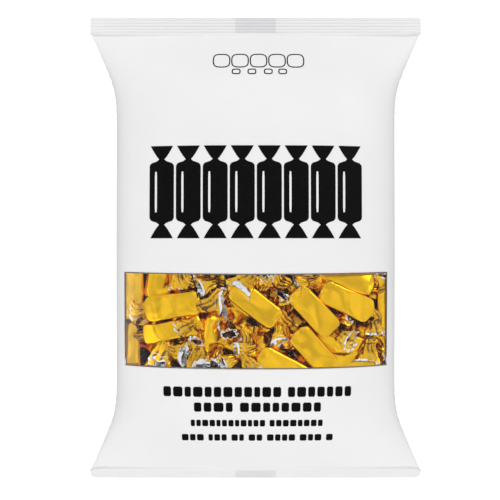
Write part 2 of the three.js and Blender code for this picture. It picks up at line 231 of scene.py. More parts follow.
class Film:
    """The filled tube of film: its sections and the height of its front and back."""

    # how near the seals the tube is full and its widest line is level
    FULL_REACH = 55 * MM
    LEVEL_REACH = 42 * MM
    # how tightly the tube's lines bend over: its fullness, its front and back, and its sides
    FULL_BEND = 2.2
    SWELL_BEND = 2.6
    SIDE_BEND = 7
    # a section's power where the tube is flat, what it gains where the tube is full, and how
    # much flatter the front and the back are there
    SECTION_POWER = 2
    FULL_GAIN = 0.6
    FRONT_FLATNESS = 1.7
    BACK_FLATNESS = 2.4
    # how far the back would hang below the floor, which presses it flat
    PRESSED = 3 * MM
    # share of the flat strip from which the front swells
    STRIP_SHARE = 0.25
    # the small step of the side edges beside a seal, and its reach
    EDGE_STEP = 0.8 * MM
    EDGE_STEP_REACH = 1 * MM
    # how far from a seal the side edges are folded down, and how narrow the fold is
    FOLD_START = 4 * MM
    FOLD_WIDTH = 1.2 * MM
    # how far across the bag a seal's corner starts, and its width
    CORNER_START = 94 * MM
    CORNER_WIDTH = 13 * MM
    # the crease at a seal: its width, and how much deeper it is at the corners
    CREASE_WIDTH = 0.7 * MM
    CORNER_CREASE = 1.6
    # puckers run out from the creases: height, spacing, start, reach and length
    PUCKER_HEIGHT = 0.16 * MM
    PUCKER_SPACING = 17 * MM
    PUCKER_START = 4 * MM
    PUCKER_REACH = 26 * MM
    PUCKER_STRETCH = 0.35
    # the front's slack past them: height, spacing and start
    SLACK_HEIGHT = 0.22 * MM
    SLACK_SPACING = 38 * MM
    SLACK_START = 30 * MM
    # how far inside the sides the front's relief is whole, and how far past the creases it goes
    RELIEF_EDGE = 12 * MM
    RELIEF_PAST = 3 * MM
    # the back's slack: height, spacing and how soon it is whole as the tube fills
    BACK_SLACK = 0.35 * MM
    BACK_SPACING = 24 * MM
    BACK_GAIN = 3
    # the puckered shoulders: their middle line along the bag, how far from it they are, their
    # reach, and the height and spacing of their puckers
    SHOULDER_MIDDLE = -3 * MM
    SHOULDER_PLACE = 103 * MM
    SHOULDER_REACH = 20 * MM
    SHOULDER_HEIGHT = 0.28 * MM
    SHOULDER_SPACING = 5.5 * MM
    # where the sweets push the film out: across, along, reach and height, in mm
    LUMPS = (
        (52, 99, 15, 0.9),
        (-52, 99, 15, 0.9),
        (14, 94, 13, 0.6),
        (-14, 94, 13, 0.6),
        (44, -108, 14, 0.7),
        (-44, -108, 14, 0.7),
    )

    def __init__(self, bag):
        self.bag = bag
        self.top_line = bag.bag_length / 2 - bag.seal_depth * cos(bag.top_droop)
        self.bottom_line = -bag.bag_length / 2 + bag.seal_depth * cos(bag.bottom_droop)

    def between(self, y, reach, power, strip=None):
        """0 at each seal and about 1 along the full middle, reached over the given distance."""
        strip = self.bag.flat_strip if strip is None else strip
        from_top = np.maximum(0, self.top_line - strip - y)
        from_bottom = np.maximum(0, y - self.bottom_line - strip)
        return level(from_top / reach, power) * level(from_bottom / reach, power)

    def full(self, y):
        """0 where the tube is flat and about 1 where it is full."""
        return self.between(y, self.FULL_REACH, self.FULL_BEND)

    def past_seal(self, y):
        """How far a line across the bag is from the nearer seal."""
        return np.minimum(self.top_line - y, y - self.bottom_line)

    def corner(self, x):
        """0 along a seal, rising to 1 at both its ends."""
        return np.clip((np.abs(x) - self.CORNER_START) / self.CORNER_WIDTH, 0, 1)

    def inward(self, x, y):
        """0 at the side edges of the tube and 1 along its middle."""
        power = self.SECTION_POWER + self.FULL_GAIN * self.full(y)
        return np.maximum(0, 1 - np.abs(x / self.half_width(y)) ** power)

    def half_width(self, y):
        """Half the width of the tube at a line across it."""
        bag = self.bag
        narrowing = (bag.seal_width - bag.body_width) / 2
        past = np.maximum(0, self.past_seal(y))
        past = past + self.EDGE_STEP * (1 - np.exp(-past / self.EDGE_STEP_REACH))
        drawn_in = level(past * bag.side_slope / narrowing, self.SIDE_BEND)
        return bag.seal_width / 2 - narrowing * drawn_in

    def middle(self, y):
        """Height of the tube's widest line."""
        bag = self.bag
        rise = bag.middle_height - bag.seal_height
        return bag.seal_height + rise * self.between(y, self.LEVEL_REACH, self.FULL_BEND)

    def fold(self, x, y):
        """How far the folded side edges hang down where the tube flattens to its seals."""
        inside = np.maximum(0, self.half_width(y) - np.abs(x))
        flat = np.clip(self.past_seal(y) / self.FOLD_START, 0, 1) * (1 - self.full(y))
        return self.bag.edge_fold * np.exp(-inside / self.FOLD_WIDTH) * flat

    def strip(self, x):
        """Width of the flat strip beside a seal: its crease runs out into the seal's corner."""
        return self.bag.flat_strip * np.sqrt(1 - self.corner(x) ** 2)

    def front(self, x, y):
        """Height of the front film over a point of the floor."""
        bag = self.bag
        rise = bag.height - bag.middle_height
        reach = rise / bag.front_slope
        strip = self.STRIP_SHARE * self.strip(x)
        most = self.between(0, reach, self.SWELL_BEND)
        swell = rise * self.between(y, reach, self.SWELL_BEND, strip) / most
        middle = self.middle(y) + bag.seal_thickness / 2 - self.fold(x, y)
        section = self.inward(x, y) ** (1 / (1 + self.FRONT_FLATNESS * self.full(y)))
        return middle + swell * section + self.relief(x, y)

    def back(self, x, y):
        """Height of the back film, pressed flat where it meets the floor."""
        bag = self.bag
        drop = bag.middle_height + self.PRESSED
        full = self.full(y)
        swell = drop * self.between(y, drop / bag.back_slope, self.SWELL_BEND)
        inward = self.inward(x, y)
        middle = self.middle(y) - bag.seal_thickness / 2 - self.fold(x, y)
        z = middle - swell * inward ** (1 / (1 + self.BACK_FLATNESS * full))
        slack = self.BACK_SLACK * ripple(31, self.BACK_SPACING, x, y)
        slack = slack * inward**0.5 * np.clip(full * self.BACK_GAIN, 0, 1)
        return np.maximum(bag.seam_step, z + slack)

    def relief(self, x, y):
        """The small forms of the front: creases at the seals, puckers and the sweets' lumps."""
        strip = self.strip(x)
        nearest = np.minimum(self.top_line - strip - y, y - self.bottom_line - strip)
        deep = self.bag.crease_depth * (1 + self.CORNER_CREASE * self.corner(x) ** 2)
        groove = -deep * np.exp(-((nearest / self.CREASE_WIDTH) ** 2))
        pucker = self.PUCKER_HEIGHT * ripple(5, self.PUCKER_SPACING, x, y * self.PUCKER_STRETCH)
        pucker = pucker * np.clip(nearest / self.PUCKER_START, 0, 1)
        pucker = pucker * np.exp(-nearest / self.PUCKER_REACH)
        slack = self.SLACK_HEIGHT * ripple(8, self.SLACK_SPACING, x, y)
        slack = slack * np.clip(nearest / self.SLACK_START, 0, 1)
        edge = np.clip((self.half_width(y) - np.abs(x)) / self.RELIEF_EDGE, 0, 1)
        lumps = 0
        for across, along, reach, height in self.LUMPS:
            far = ((x - across * MM) ** 2 + (y - along * MM) ** 2) / (reach * MM) ** 2
            lumps = lumps + height * MM * np.exp(-far)
        on_body = nearest > -self.RELIEF_PAST
        return groove * on_body + (pucker + slack) * edge + lumps * edge

    def side_pucker(self, y):
        """How far the side folds stand out where the corners turn into the full body."""
        past = np.abs(y - self.SHOULDER_MIDDLE) - self.SHOULDER_PLACE
        shoulders = np.exp(-((past / self.SHOULDER_REACH) ** 2))
        return shoulders * self.SHOULDER_HEIGHT * ripple(3, self.SHOULDER_SPACING, y)

    def normal(self, x, y):
        """The way the front faces at a point of the floor."""
        step = 0.5 * MM
        slope_x = (self.front(x + step, y) - self.front(x - step, y)) / (2 * step)
        slope_y = (self.front(x, y + step) - self.front(x, y - step)) / (2 * step)
        return Vector((-slope_x, -slope_y, 1)).normalized()


# ------------------------------------------------------------------ meshes and node trees


def new_piece(name, points, faces=(), materials=(), finishes=None, smooth=True):
    """A mesh object at the origin. finishes gives each face its material's number, and a
    face that names a corner twice is a triangle."""
    mesh = bpy.data.meshes.new(name)
    faces = [tuple(dict.fromkeys(map(int, face))) for face in faces]
    mesh.from_pydata([tuple(p) for p in points], [], faces)
    for material in materials:
        mesh.materials.append(material)
    if finishes is not None:
        mesh.polygons.foreach_set("material_index", np.asarray(finishes, dtype=np.int32))
    flags = np.broadcast_to(np.asarray(smooth, dtype=bool), (len(mesh.polygons),))
    mesh.polygons.foreach_set("use_smooth", flags.copy())
    if mesh.validate():
        raise RuntimeError(f"{name} has faces that can't be built")
    mesh.update()
    piece = bpy.data.objects.new(name, mesh)
    bpy.context.collection.objects.link(piece)
    return piece


def store(piece, name, kind, domain, values):
    """Gives a piece a named attribute, with a value or a vector for each point or face."""
    data = piece.data.attributes.new(name, kind, domain).data
    data.foreach_set("vector" if kind == "FLOAT_VECTOR" else "value", np.ravel(values))


def grid_faces(rows, columns, wrap=False):
    """Quads of a grid of points numbered row by row. wrap joins the last column to the first."""
    across = columns if wrap else columns - 1
    row, column = np.meshgrid(np.arange(rows - 1), np.arange(across), indexing="ij")
    a = row * columns + column
    b = row * columns + (column + 1) % columns
    return np.stack([a, b, b + columns, a + columns], -1).reshape(-1, 4)


def slab(x, y, top, bottom):
    """Points and faces of a closed slab on a grid, between two height arrays."""
    rows, columns = x.shape
    count = rows * columns
    points = np.concatenate([np.stack([x, y, z], -1).reshape(-1, 3) for z in (top, bottom)])
    upper = grid_faces(rows, columns)
    lower = upper[:, ::-1] + count
    number = np.arange(count).reshape(rows, columns)
    rim = np.concatenate([number[0, :-1], number[:-1, -1], number[-1, :0:-1], number[:0:-1, 0]])
    ahead = np.roll(rim, -1)
    walls = np.stack([rim, rim + count, ahead + count, ahead], -1)
    return points, np.concatenate([upper, lower, walls])


class Nodes:
    """Adds nodes to a tree, each with its inputs joined or set as it is made."""

    def __init__(self, tree):
        self.tree = tree

    def add(self, kind, *values, out=None, **settings):
        """A node whose inputs take, in order, other nodes' outputs, plain values, or None for
        what they hold already. Gives its first output, or the one named."""
        node = self.tree.nodes.new(kind)
        for name, value in settings.items():
            setattr(node, name, value)
        for socket, value in zip([s for s in node.inputs if s.enabled], values):
            self.give(socket, value)
        return [s for s in node.outputs if s.enabled and out in (None, s.name)][0]

    def give(self, socket, value):
        """Joins an output to an input, or sets the input's own value."""
        if isinstance(value, bpy.types.NodeSocket):
            self.tree.links.new(value, socket)
        elif value is not None:
            socket.default_value = (*value, 1) if socket.type == "RGBA" else value

    def math(self, operation, *values):
        """A sum or the like of outputs and plain numbers."""
        return self.add("ShaderNodeMath", *values, operation=operation)

    def spread(self, pattern, low, high, start=0.3, stop=0.7, ease="LINEAR"):
        """Goes from low to high as a pattern goes from start to stop."""
        return self.add(
            "ShaderNodeMapRange", pattern, start, stop, low, high, interpolation_type=ease
        )


class Tree(Nodes):
    """A geometry node tree with named inputs, run on a piece and then applied."""

    def __init__(self, name, inputs):
        super().__init__(bpy.data.node_groups.new(name, "GeometryNodeTree"))
        self.tree.is_modifier = True
        self.sockets = {}
        face = self.tree.interface
        face.new_socket("Geometry", in_out="INPUT", socket_type="NodeSocketGeometry")
        for label, kind, value in inputs:
            socket = face.new_socket(label, in_out="INPUT", socket_type=f"NodeSocket{kind}")
            if value is not None:
                socket.default_value = value
            self.sockets[label] = socket.identifier
        face.new_socket("Geometry", in_out="OUTPUT", socket_type="NodeSocketGeometry")
        self.given = self.tree.nodes.new("NodeGroupInput").outputs
        self.result = self.tree.nodes.new("NodeGroupOutput").inputs[0]

    def attribute(self, name, kind="FLOAT"):
        """What a named attribute holds at each point or face."""
        return self.add("GeometryNodeInputNamedAttribute", name, data_type=kind)

    def end(self, geometry, *finishes):
        """Realizes what the tree made and gives it its materials. A finish is a material's
        input, or that with the faces that take it."""
        geometry = self.add("GeometryNodeRealizeInstances", geometry)
        for finish in finishes:
            material, faces = finish if isinstance(finish, tuple) else (finish, None)
            geometry = self.add("GeometryNodeSetMaterial", geometry, faces, material)
        self.tree.links.new(geometry, self.result)

    def apply(self, piece, **values):
        """Runs the tree on a piece and leaves a plain mesh."""
        modifier = piece.modifiers.new(self.tree.name, "NODES")
        modifier.node_group = self.tree
        for label, value in values.items():
            modifier[self.sockets[label.replace("_", " ")]] = value
        piece.update_tag()
        graph = bpy.context.evaluated_depsgraph_get()
        made = bpy.data.meshes.new_from_object(piece.evaluated_get(graph))
        piece.modifiers.clear()
        old, piece.data = piece.data, made
        made.name = piece.name
        bpy.data.meshes.remove(old)


def finish_piece(piece, slot, *nodes):
    """Sets the root body to carry a piece and hides the CAD nodes it stands for. slot is not used.
    """
    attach(piece, "root")
    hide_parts(*nodes)


# ------------------------------------------------------------------ finishes


class Finish(Nodes):
    """A material with one Principled shader and the nodes that vary it."""

    def __init__(self, name, base, sockets):
        self.material = bpy.data.materials.new(name)
        self.material.use_nodes = True
        self.base = tuple(base)
        super().__init__(self.material.node_tree)
        self.shader = self.tree.nodes["Principled BSDF"]
        self.place = self.add("ShaderNodeTexCoord", out="Object")
        self.give(self.shader.inputs["Base Color"], self.base)
        self.material.diffuse_color = (*base, 1)
        for label, value in sockets.items():
            self.give(self.shader.inputs[label], value)

    def noise(self, scale, detail=3, rough=0.55, distort=0.0):
        """A noise pattern in the piece's own space, with scale cells to the metre."""
        return self.add("ShaderNodeTexNoise", self.place, scale, detail, rough, None, distort)

    def blend(self, pattern, first, second, start=0.3, stop=0.7):
        """Goes from one colour to another as a pattern does. A colour may be an output."""
        share = self.spread(pattern, 0, 1, start, stop)
        return self.add("ShaderNodeMix", share, first, second, data_type="RGBA")

    def drive(self, label, output):
        """Joins an output to one of the shader's inputs."""
        self.tree.links.new(output, self.shader.inputs[label])

    def shade(self, pattern, darkest, brightest):
        """Makes the base colour darker and brighter as a pattern goes, by the given shares."""
        dark, bright = (
            tuple(min(1.0, channel * share) for channel in self.base)
            for share in (darkest, brightest)
        )
        self.drive("Base Color", self.blend(pattern, dark, bright))

    def roughen(self, pattern, low, high):
        """Lets the roughness go from low to high as a pattern goes."""
        self.drive("Roughness", self.spread(pattern, low, high))

    def bump(self, pattern, distance, strength=1.0):
        """Adds relief from a pattern, on top of any bump already there."""
        under = self.shader.inputs["Normal"]
        under = under.links[0].from_socket if under.is_linked else None
        node = self.tree.nodes.new("ShaderNodeBump")
        labels = {"Strength": strength, "Distance": distance, "Height": pattern, "Normal": under}
        for label, value in labels.items():
            self.give(node.inputs[label], value)
        self.drive("Normal", node.outputs["Normal"])


def white_film(base, name="white_film"):
    """Printed satin film: faint cloudiness, a soft sheen and a barely grained face."""
    finish = Finish(name, base, {"Roughness": 0.4, "Specular IOR Level": 0.4})
    finish.shade(finish.noise(28, detail=4), 0.985, 1.012)
    finish.roughen(finish.noise(160), 0.36, 0.46)
    finish.bump(finish.noise(900, detail=2), 0.02 * MM, 0.5)
    return finish.material


def dark_inside(base):
    """The shade deep in the bag."""
    finish = Finish("dark_inside", base, {"Roughness": 0.6})
    finish.shade(finish.noise(120), 0.6, 1.5)
    return finish.material


def clear_film(bag):
    """Thin clear film with faint ripples and a slight haze, and a painted sheen that pales it
    towards its left end.
    """
    finish = Finish("clear_film", bag.pane_colour, {"Roughness": 0.1})
    across = finish.add("ShaderNodeSeparateXYZ", finish.place, out="X")
    left = -bag.window_width / 2
    reach = 16 * MM
    # painted sheen: towards the left end the film shows more and is whiter
    pale = finish.spread(across, 1, 0, left, left + reach)
    finish.drive("Alpha", finish.spread(pale, bag.haze, bag.left_sheen, 0, 1))
    finish.drive("Base Color", finish.blend(pale, bag.pane_colour, bag.film_colour, 0, 1))
    finish.roughen(finish.noise(90), 0.06, 0.18)
    finish.bump(finish.noise(60, detail=2), 0.3 * MM, 0.5)
    return finish.material


def foil(name, base, spread):
    """Bright metal foil: slow changes of tone by the given share, and soft slack creases."""
    finish = Finish(name, base, {"Metallic": 1.0, "Roughness": 0.2})
    finish.shade(finish.noise(70, detail=2), 1 - spread, 1 + spread)
    finish.roughen(finish.noise(110, detail=2), 0.09, 0.16)
    finish.bump(finish.noise(120, detail=1, distort=0.8), 0.25 * MM, 0.35)
    finish.bump(finish.noise(520, detail=1, distort=0.5), 0.02 * MM, 0.5)
    return finish


def gold_foil(base, amber, brown):
    """Gold outside, with painted shade: amber where it is gathered and brown in the tight folds,
    for the shade and the warmer light caught there. The fold attribute says how deep in a fold each
    point is, and so how much painted shade it takes."""
    finish = foil("wrapper_gold", base, 0.04)
    gold = finish.shader.inputs["Base Color"].links[0].from_socket
    # the fold attribute sets the painted shade: amber in the gathers, brown deep in the folds
    fold = finish.add("ShaderNodeAttribute", attribute_name="fold", out="Fac")
    gathered = finish.blend(fold, gold, tuple(amber), 0.0, 0.5)
    finish.drive("Base Color", finish.blend(fold, gathered, tuple(brown), 0.5, 1.0))
    return finish.material


def silver_lining(base):
    """The foil's inner side: bright, with slate-blue flecks of print."""
    slate = (0.20, 0.28, 0.38)
    finish = foil("wrapper_lining", base, 0.03)
    pale = finish.shader.inputs["Base Color"].links[0].from_socket
    flecks = finish.noise(230, detail=1, distort=1.6)
    finish.drive("Base Color", finish.blend(flecks, pale, slate, 0.59, 0.64))
    finish.shader.inputs["Metallic"].default_value = 0.45
    return finish.material


def printed_ink(name, base):
    """Flat printed ink with a faint sheen and slight changes in its density."""
    finish = Finish(name, base, {"Roughness": 0.5, "Specular IOR Level": 0.06})
    finish.shade(finish.noise(240), 0.7, 1.4)
    finish.roughen(finish.noise(500), 0.42, 0.6)
    return finish.material


# ------------------------------------------------------------------ the film and its seals


def crimp_tree():
    """Presses the seals' ribs: points move along crimp_way, in grooves of even pitch."""
    tree = Tree(
        "crimp_ribs",
        [
            ("Pitch", "Float", 2 * MM),
            ("Depth", "Float", 0.3 * MM),
            ("Unevenness", "Float", 0.5),
            ("Film", "Material", None),
            ("Marks", "Material", None),
            ("Inside", "Material", None),
            ("Lining", "Material", None),
        ],
    )
    # how narrow the grooves are, and the slower wave by which some are deeper
    sharpness, slow_turns, slow_start = 3.0, 2.4, 0.9
    past = tree.attribute("past_crease")
    way = tree.attribute("crimp_way", "FLOAT_VECTOR")
    turns = tree.math("DIVIDE", past, tree.given["Pitch"])
    wave = tree.math("COSINE", tree.math("MULTIPLY", turns, TAU))
    groove = tree.math("POWER", tree.math("MULTIPLY_ADD", wave, 0.5, 0.5), sharpness)
    slow = tree.math("COSINE", tree.math("MULTIPLY_ADD", turns, slow_turns, slow_start))
    uneven = tree.math("MULTIPLY", tree.given["Unevenness"], 0.5)
    share = tree.math("MULTIPLY_ADD", slow, uneven, 1.0)
    push = tree.math("MULTIPLY", groove, tree.math("MULTIPLY", share, tree.given["Depth"]))
    offset = tree.add("ShaderNodeVectorMath", way, push, operation="SCALE")
    ribbed = tree.add("GeometryNodeSetPosition", tree.given["Geometry"], None, None, offset)
    # painted shade: the seam's band across the end seals
    marks = tree.attribute("is_mark", "BOOLEAN")
    inside = tree.attribute("is_inside", "BOOLEAN")
    # the pocket's walls: the film's inner side in painted shade
    lining = tree.attribute("is_lining", "BOOLEAN")
    tree.end(
        ribbed,
        tree.given["Film"],
        (tree.given["Marks"], marks),
        (tree.given["Inside"], inside),
        (tree.given["Lining"], lining),
    )
    return tree


def bowed(bag, x, y):
    """Where a line of the print at y lies: the film's pull curves it down at the middle."""
    middle = (bag.window_top + bag.window_bottom) / 2
    reach = 62 * MM
    near = np.exp(-(((y - middle) / reach) ** 4))
    return y - bag.window_bow * near * np.maximum(0, 1 - (2 * x / bag.window_width) ** 2)


# the share of the half width past which a ring's point is on its widest line
WIDEST = 0.99999


def around_tube(front, back):
    """Rings round the film: over its front, then back along its underside."""
    return np.concatenate([front, back[:, -2:0:-1]], axis=1)


def body_rings(bag, film, spread, rows):
    """The rings between the seals, which are closest beside them."""
    crowding = 0.8
    side_sharpness = 24
    t = np.linspace(0, 1, rows)
    share = t - crowding * np.sin(TAU * t) / TAU
    y = film.bottom_line + (film.top_line - film.bottom_line) * share
    for edge in (bag.window_bottom, bag.window_top):
        y[np.argmin(np.abs(y - edge))] = edge
    along = y.copy()
    y = y[:, None]
    half = film.half_width(y)
    x = spread * half
    y = bowed(bag, x, y)
    middle = np.where(np.abs(spread) > WIDEST, film.middle(y) - film.fold(half, y), 0)
    front = np.where(middle > 0, middle, film.front(x, y))
    side = np.abs(spread) ** side_sharpness
    out = x + np.sign(spread) * side * film.side_pucker(y)
    front = np.stack([out, y, front], -1)
    back = np.stack([out, y, film.back(x, y)], -1)
    return around_tube(front, back), np.zeros(rows), np.zeros((rows, 3)), along


def seal_rings(bag, film, spread, rows, end):
    """The rings of one crimped end: -1 is the bottom, whose corners are rounded, and 1 is the
    top. Its ribs fade out at the cut edge."""
    wave_height, wave_spacing, rib_fade = 0.04 * MM, 46 * MM, 0.4 * MM
    droop = bag.top_droop if end > 0 else bag.bottom_droop
    line = film.top_line if end > 0 else film.bottom_line
    run = np.linspace(0, bag.seal_depth, rows + 1)[1:, None]
    flat = (bag.seal_thickness / 2) * (np.abs(spread) < WIDEST)
    wave = wave_height * ripple(40 + end, wave_spacing, spread * bag.seal_width / 2)
    wave = wave * run / bag.seal_depth
    past_corner = np.maximum(0, run - bag.seal_depth + bag.corner_radius) * (end < 0)
    half = bag.seal_width / 2 - bag.corner_radius
    half = half + np.sqrt(bag.corner_radius**2 - past_corner**2)
    skins = []
    for skin in (flat + wave, wave - flat):
        y = line + end * (run * cos(droop) + skin * sin(droop))
        z = bag.seal_height - run * sin(droop) + skin * cos(droop)
        skins.append(np.stack([spread * half, y, z], -1))
    press = -np.array([0, end * sin(droop), cos(droop)])
    fade = np.clip((bag.seal_depth - run[:, 0]) / rib_fade, 0, 1)[:, None]
    seal = (around_tube(*skins), run[:, 0], press * fade, line + end * run[:, 0])
    return [part[::end] for part in seal]


def film_rings(bag, film, spread, body_rows, seal_rows):
    """Points of the film, ring by ring from the bottom cut edge to the top one, with each
    ring's distance past its crease, the way its ribs are pressed and its place along the bag.
    spread holds the share of the half width at which each point of a ring's front lies."""
    parts = (
        seal_rings(bag, film, spread, seal_rows, -1),
        body_rings(bag, film, spread, body_rows),
        seal_rings(bag, film, spread, seal_rows, 1),
    )
    return [np.concatenate(column) for column in zip(*parts)]


def pocket(bag, points, opening):
    """Sinks the faces of the window's opening to the pocket's floor, a little wider there.
    Gives the floor's points, its faces and the walls that join it to the film."""
    wider = (1.01, 1.06, 0)
    used, again = np.unique(opening, return_inverse=True)
    sunk = again.reshape(opening.shape) + len(points)
    centre = (bag.window_bottom + bag.window_top) / 2
    floor = (points[used] - (0, centre, 0)) * wider + (0, centre, bag.pocket_floor)
    edges = np.stack([opening, np.roll(opening, -1, axis=1)], -1).reshape(-1, 2)
    there = {tuple(edge) for edge in edges.tolist()}
    place = {old: len(points) + new for new, old in enumerate(used.tolist())}
    walls = [(a, b, place[b], place[a]) for a, b in there if (b, a) not in there]
    return floor, sunk, np.array(sorted(walls))


class SWEETBAG_OT_film(Operator):
    """Build the white film with its crimped ends and the space behind its window"""

    bl_idname = "sweet_bag.film"
    bl_label = "White film"

    def execute(self, context):
        bag = context.scene.sweet_bag
        film = Film(bag)
        columns = 128
        spread = np.cos(np.linspace(0, pi, columns + 1))
        window = bag.window_width / 2 / film.half_width((bag.window_top + bag.window_bottom) / 2)
        for edge in (-window, window):
            spread[np.argmin(np.abs(spread - edge))] = edge
        rings, past, way, along = film_rings(bag, film, spread, body_rows=210, seal_rows=40)
        rows, around = rings.shape[:2]
        points = rings.reshape(-1, 3)
        cap = np.arange(columns)
        low = np.stack([cap, cap + 1, (around - cap - 1) % around, (around - cap) % around], -1)
        high = low[:, ::-1] + (rows - 1) * around
        faces = np.concatenate([grid_faces(rows, around, wrap=True)[:, ::-1], low, high])
        middle = points[faces].mean(axis=1)
        across = np.abs(middle[:, 0])
        place_along = np.repeat(along, around)[faces].mean(axis=1)
        gone = (
            (across < bag.window_width / 2)
            & (place_along > bag.window_bottom)
            & (place_along < bag.window_top)
            & (middle[:, 2] > bag.middle_height)
        )
        floor, sunk, walls = pocket(bag, points, faces[gone])
        kept = faces[~gone]
        layer = np.repeat((0, 1, 2), (len(kept), len(sunk), len(walls)))
        # painted shade where the back seam's layers lie in the end seals
        sealed = (middle[:, 1] > film.top_line) | (middle[:, 1] < film.bottom_line)
        marks = (sealed & (across < bag.seam_width / 2))[~gone]
        marks = np.concatenate([marks, np.zeros(len(layer) - len(kept), bool)])
        points = np.concatenate([points, floor])
        past = np.concatenate([np.repeat(past, around), np.zeros(len(floor))])
        way = np.concatenate([np.repeat(way, around, axis=0), np.zeros((len(floor), 3))])
        faces = np.concatenate([kept, sunk, walls])
        piece = new_piece("bag_film", points, faces, smooth=layer == 0)
        store(piece, "past_crease", "FLOAT", "POINT", past)
        store(piece, "crimp_way", "FLOAT_VECTOR", "POINT", way)
        store(piece, "is_mark", "BOOLEAN", "FACE", marks)
        store(piece, "is_inside", "BOOLEAN", "FACE", layer > 0)
        store(piece, "is_lining", "BOOLEAN", "FACE", layer > 1)
        crimp_tree().apply(
            piece,
            Pitch=bag.rib_pitch,
            Depth=bag.rib_depth,
            Film=white_film(bag.film_colour),
            # the seam's band in the end seals, in painted shade
            Marks=white_film(bag.seam_shade_colour, "seam_ends"),
            Inside=dark_inside(bag.inside_colour),
            # the pocket's walls, the film's inner side in painted shade
            Lining=white_film(bag.wall_shade_colour, "film_back"),
        )
        finish_piece(piece, "bag_film", "bag")
        return {"FINISHED"}


class SWEETBAG_OT_seam(Operator):
    """Build the lapped seam down the back of the bag"""

    bl_idname = "sweet_bag.seam"
    bl_label = "Back seam"

    # the seam's depth at its edges, as a share of its step, and how fast it gains the rest from
    # just inside them
    EDGE = 1.02
    EDGE_SHARE = 0.45
    EDGE_RISE = 6
    SLACK = 0.12 * MM
    SLACK_SPACING = 15 * MM
    # how far its upper side reaches into the film
    BURIED = 0.3 * MM

    def execute(self, context):
        bag = context.scene.sweet_bag
        film = Film(bag)
        y = np.linspace(film.bottom_line + bag.flat_strip, film.top_line - bag.flat_strip, 150)
        x = np.linspace(-bag.seam_width / 2, bag.seam_width / 2, 19)
        x, y = np.meshgrid(x, y)
        above = film.back(x, y)
        inward = np.clip(self.EDGE - np.abs(x) / (bag.seam_width / 2), 0, 1)
        under = above - bag.seam_step * np.minimum(1, self.EDGE_SHARE + self.EDGE_RISE * inward)
        slack = self.SLACK * ripple(71, self.SLACK_SPACING, x, y) * inward
        points, faces = slab(x, y, above + self.BURIED, np.maximum(0, under - slack))
        piece = new_piece("back_seam", points, faces, [white_film(bag.film_colour, "seam_film")])
        finish_piece(piece, "bag_film", "bag")
        return {"FINISHED"}


class SWEETBAG_OT_window(Operator):
    """Build the clear strip of film over the sweets"""

    bl_idname = "sweet_bag.window"
    bl_label = "Clear window"

    # how far the clear film reaches past its opening and lies under the white film, and its
    # own thickness
    LAP = 0.4 * MM
    BELOW = 0.12 * MM
    THICKNESS = 0.1 * MM
    # how far it sags, in mm, from this far inside its edges, and the spacing of its waves
    SAG = 0.25
    SAG_REACH = 8 * MM
    SAG_SPACING = 19 * MM

    def execute(self, context):
        bag = context.scene.sweet_bag
        film = Film(bag)
        side = bag.window_width / 2
        x = np.linspace(-side - self.LAP, side + self.LAP, 141)
        y = np.linspace(bag.window_bottom - self.LAP, bag.window_top + self.LAP, 53)
        x, y = np.meshgrid(x, y)
        y = bowed(bag, x, y)
        inward = np.minimum(side - np.abs(x), bag.window_top - y)
        inward = np.clip(np.minimum(inward, y - bag.window_bottom) / self.SAG_REACH, 0, 1)
        sag = (self.SAG - self.SAG * ripple(12, self.SAG_SPACING, x, y)) * inward * MM
        top = film.front(x, y) - self.BELOW - sag
        points, faces = slab(x, y, top, top - self.THICKNESS)
        piece = new_piece("window_film", points, faces, [clear_film(bag)])
        finish_piece(piece, "window_film", "window")
        return {"FINISHED"}


# ------------------------------------------------------------------ the wrapped caramels

# The sweets whose bodies show: x and y of the middle in mm, then yaw, roll and pitch in
# degrees, how deep under the film in mm, and the lean sideways and the lift in degrees and the
# share of turned-out lining of the left twist and of the right one.
SHOWN_SWEETS = (
    (-76.9, -27.0, 90, 4, 0, 2.9, (0, -108, 0), (0, 0, 0)),
    (-79.4, -63.9, 91, 4, 0, 3.2, (0, 0, 0), (0, -108, 0)),
    (-50.9, -35.3, 9, 0, 0, 0.4, (-6, -108, 0), (0, -108, 0)),
    (-51.9, -51.2, 10, 84, 0, 1.2, (108, 0, 0), (16, 8, 0.8)),
    (-59.9, -14.6, 83, 24, 0, 4.0, (0, -10, 0), (0, 0, 0)),
    (-47.0, -9.6, 97, 34, 0, 4.5, (0, 0, 0), (0, 0, 0)),
    (-0.7, -34.5, -38, -8, 0, 0.6, (0, -40, 0), (-40, -20, 0)),
    (-6.0, -43.4, -36, 30, 0, 10.0, (0, -90, 0), (0, -30, 0)),
    (35.6, -38.5, -47, 3, 0, 0.4, (24, 0, 0.6), (22, 44, 0.9)),
    (36.0, -63.7, -49, -3, 0, 0.9, (22, 8, 0.9), (0, 0, 0)),
    (55.6, -32.3, -25, 3, 0, 0.5, (0, -10, 0.4), (-68, -10, 0.5)),
    (56.2, -18.2, -20, -12, 0, 5.0, (0, 4, 0.3), (40, 6, 0.4)),
    (16.7, -74.0, -28, -12, 0, 1.1, (-12, 6, 0.8), (0, 0, 0)),
    (82.2, -36.5, 90, -4, 0, 0.4, (0, 0, 0), (0, 0, 0)),
    (53.1, -60.1, -8, 10, 0, 9.0, (0, 0, 0), (0, 0, 0)),
    (58.5, -72.4, 4, -12, 0, 5.5, (0, 0, 0), (0, 0, 0)),
    (-28.4, -56.8, 76, 32, 12, 5.0, (0, -20, 0), (0, -60, 0)),
    (-64.5, -76.8, 52, 20, 0, 4.5, (0, 0, 0), (6, 4, 0.5)),
)

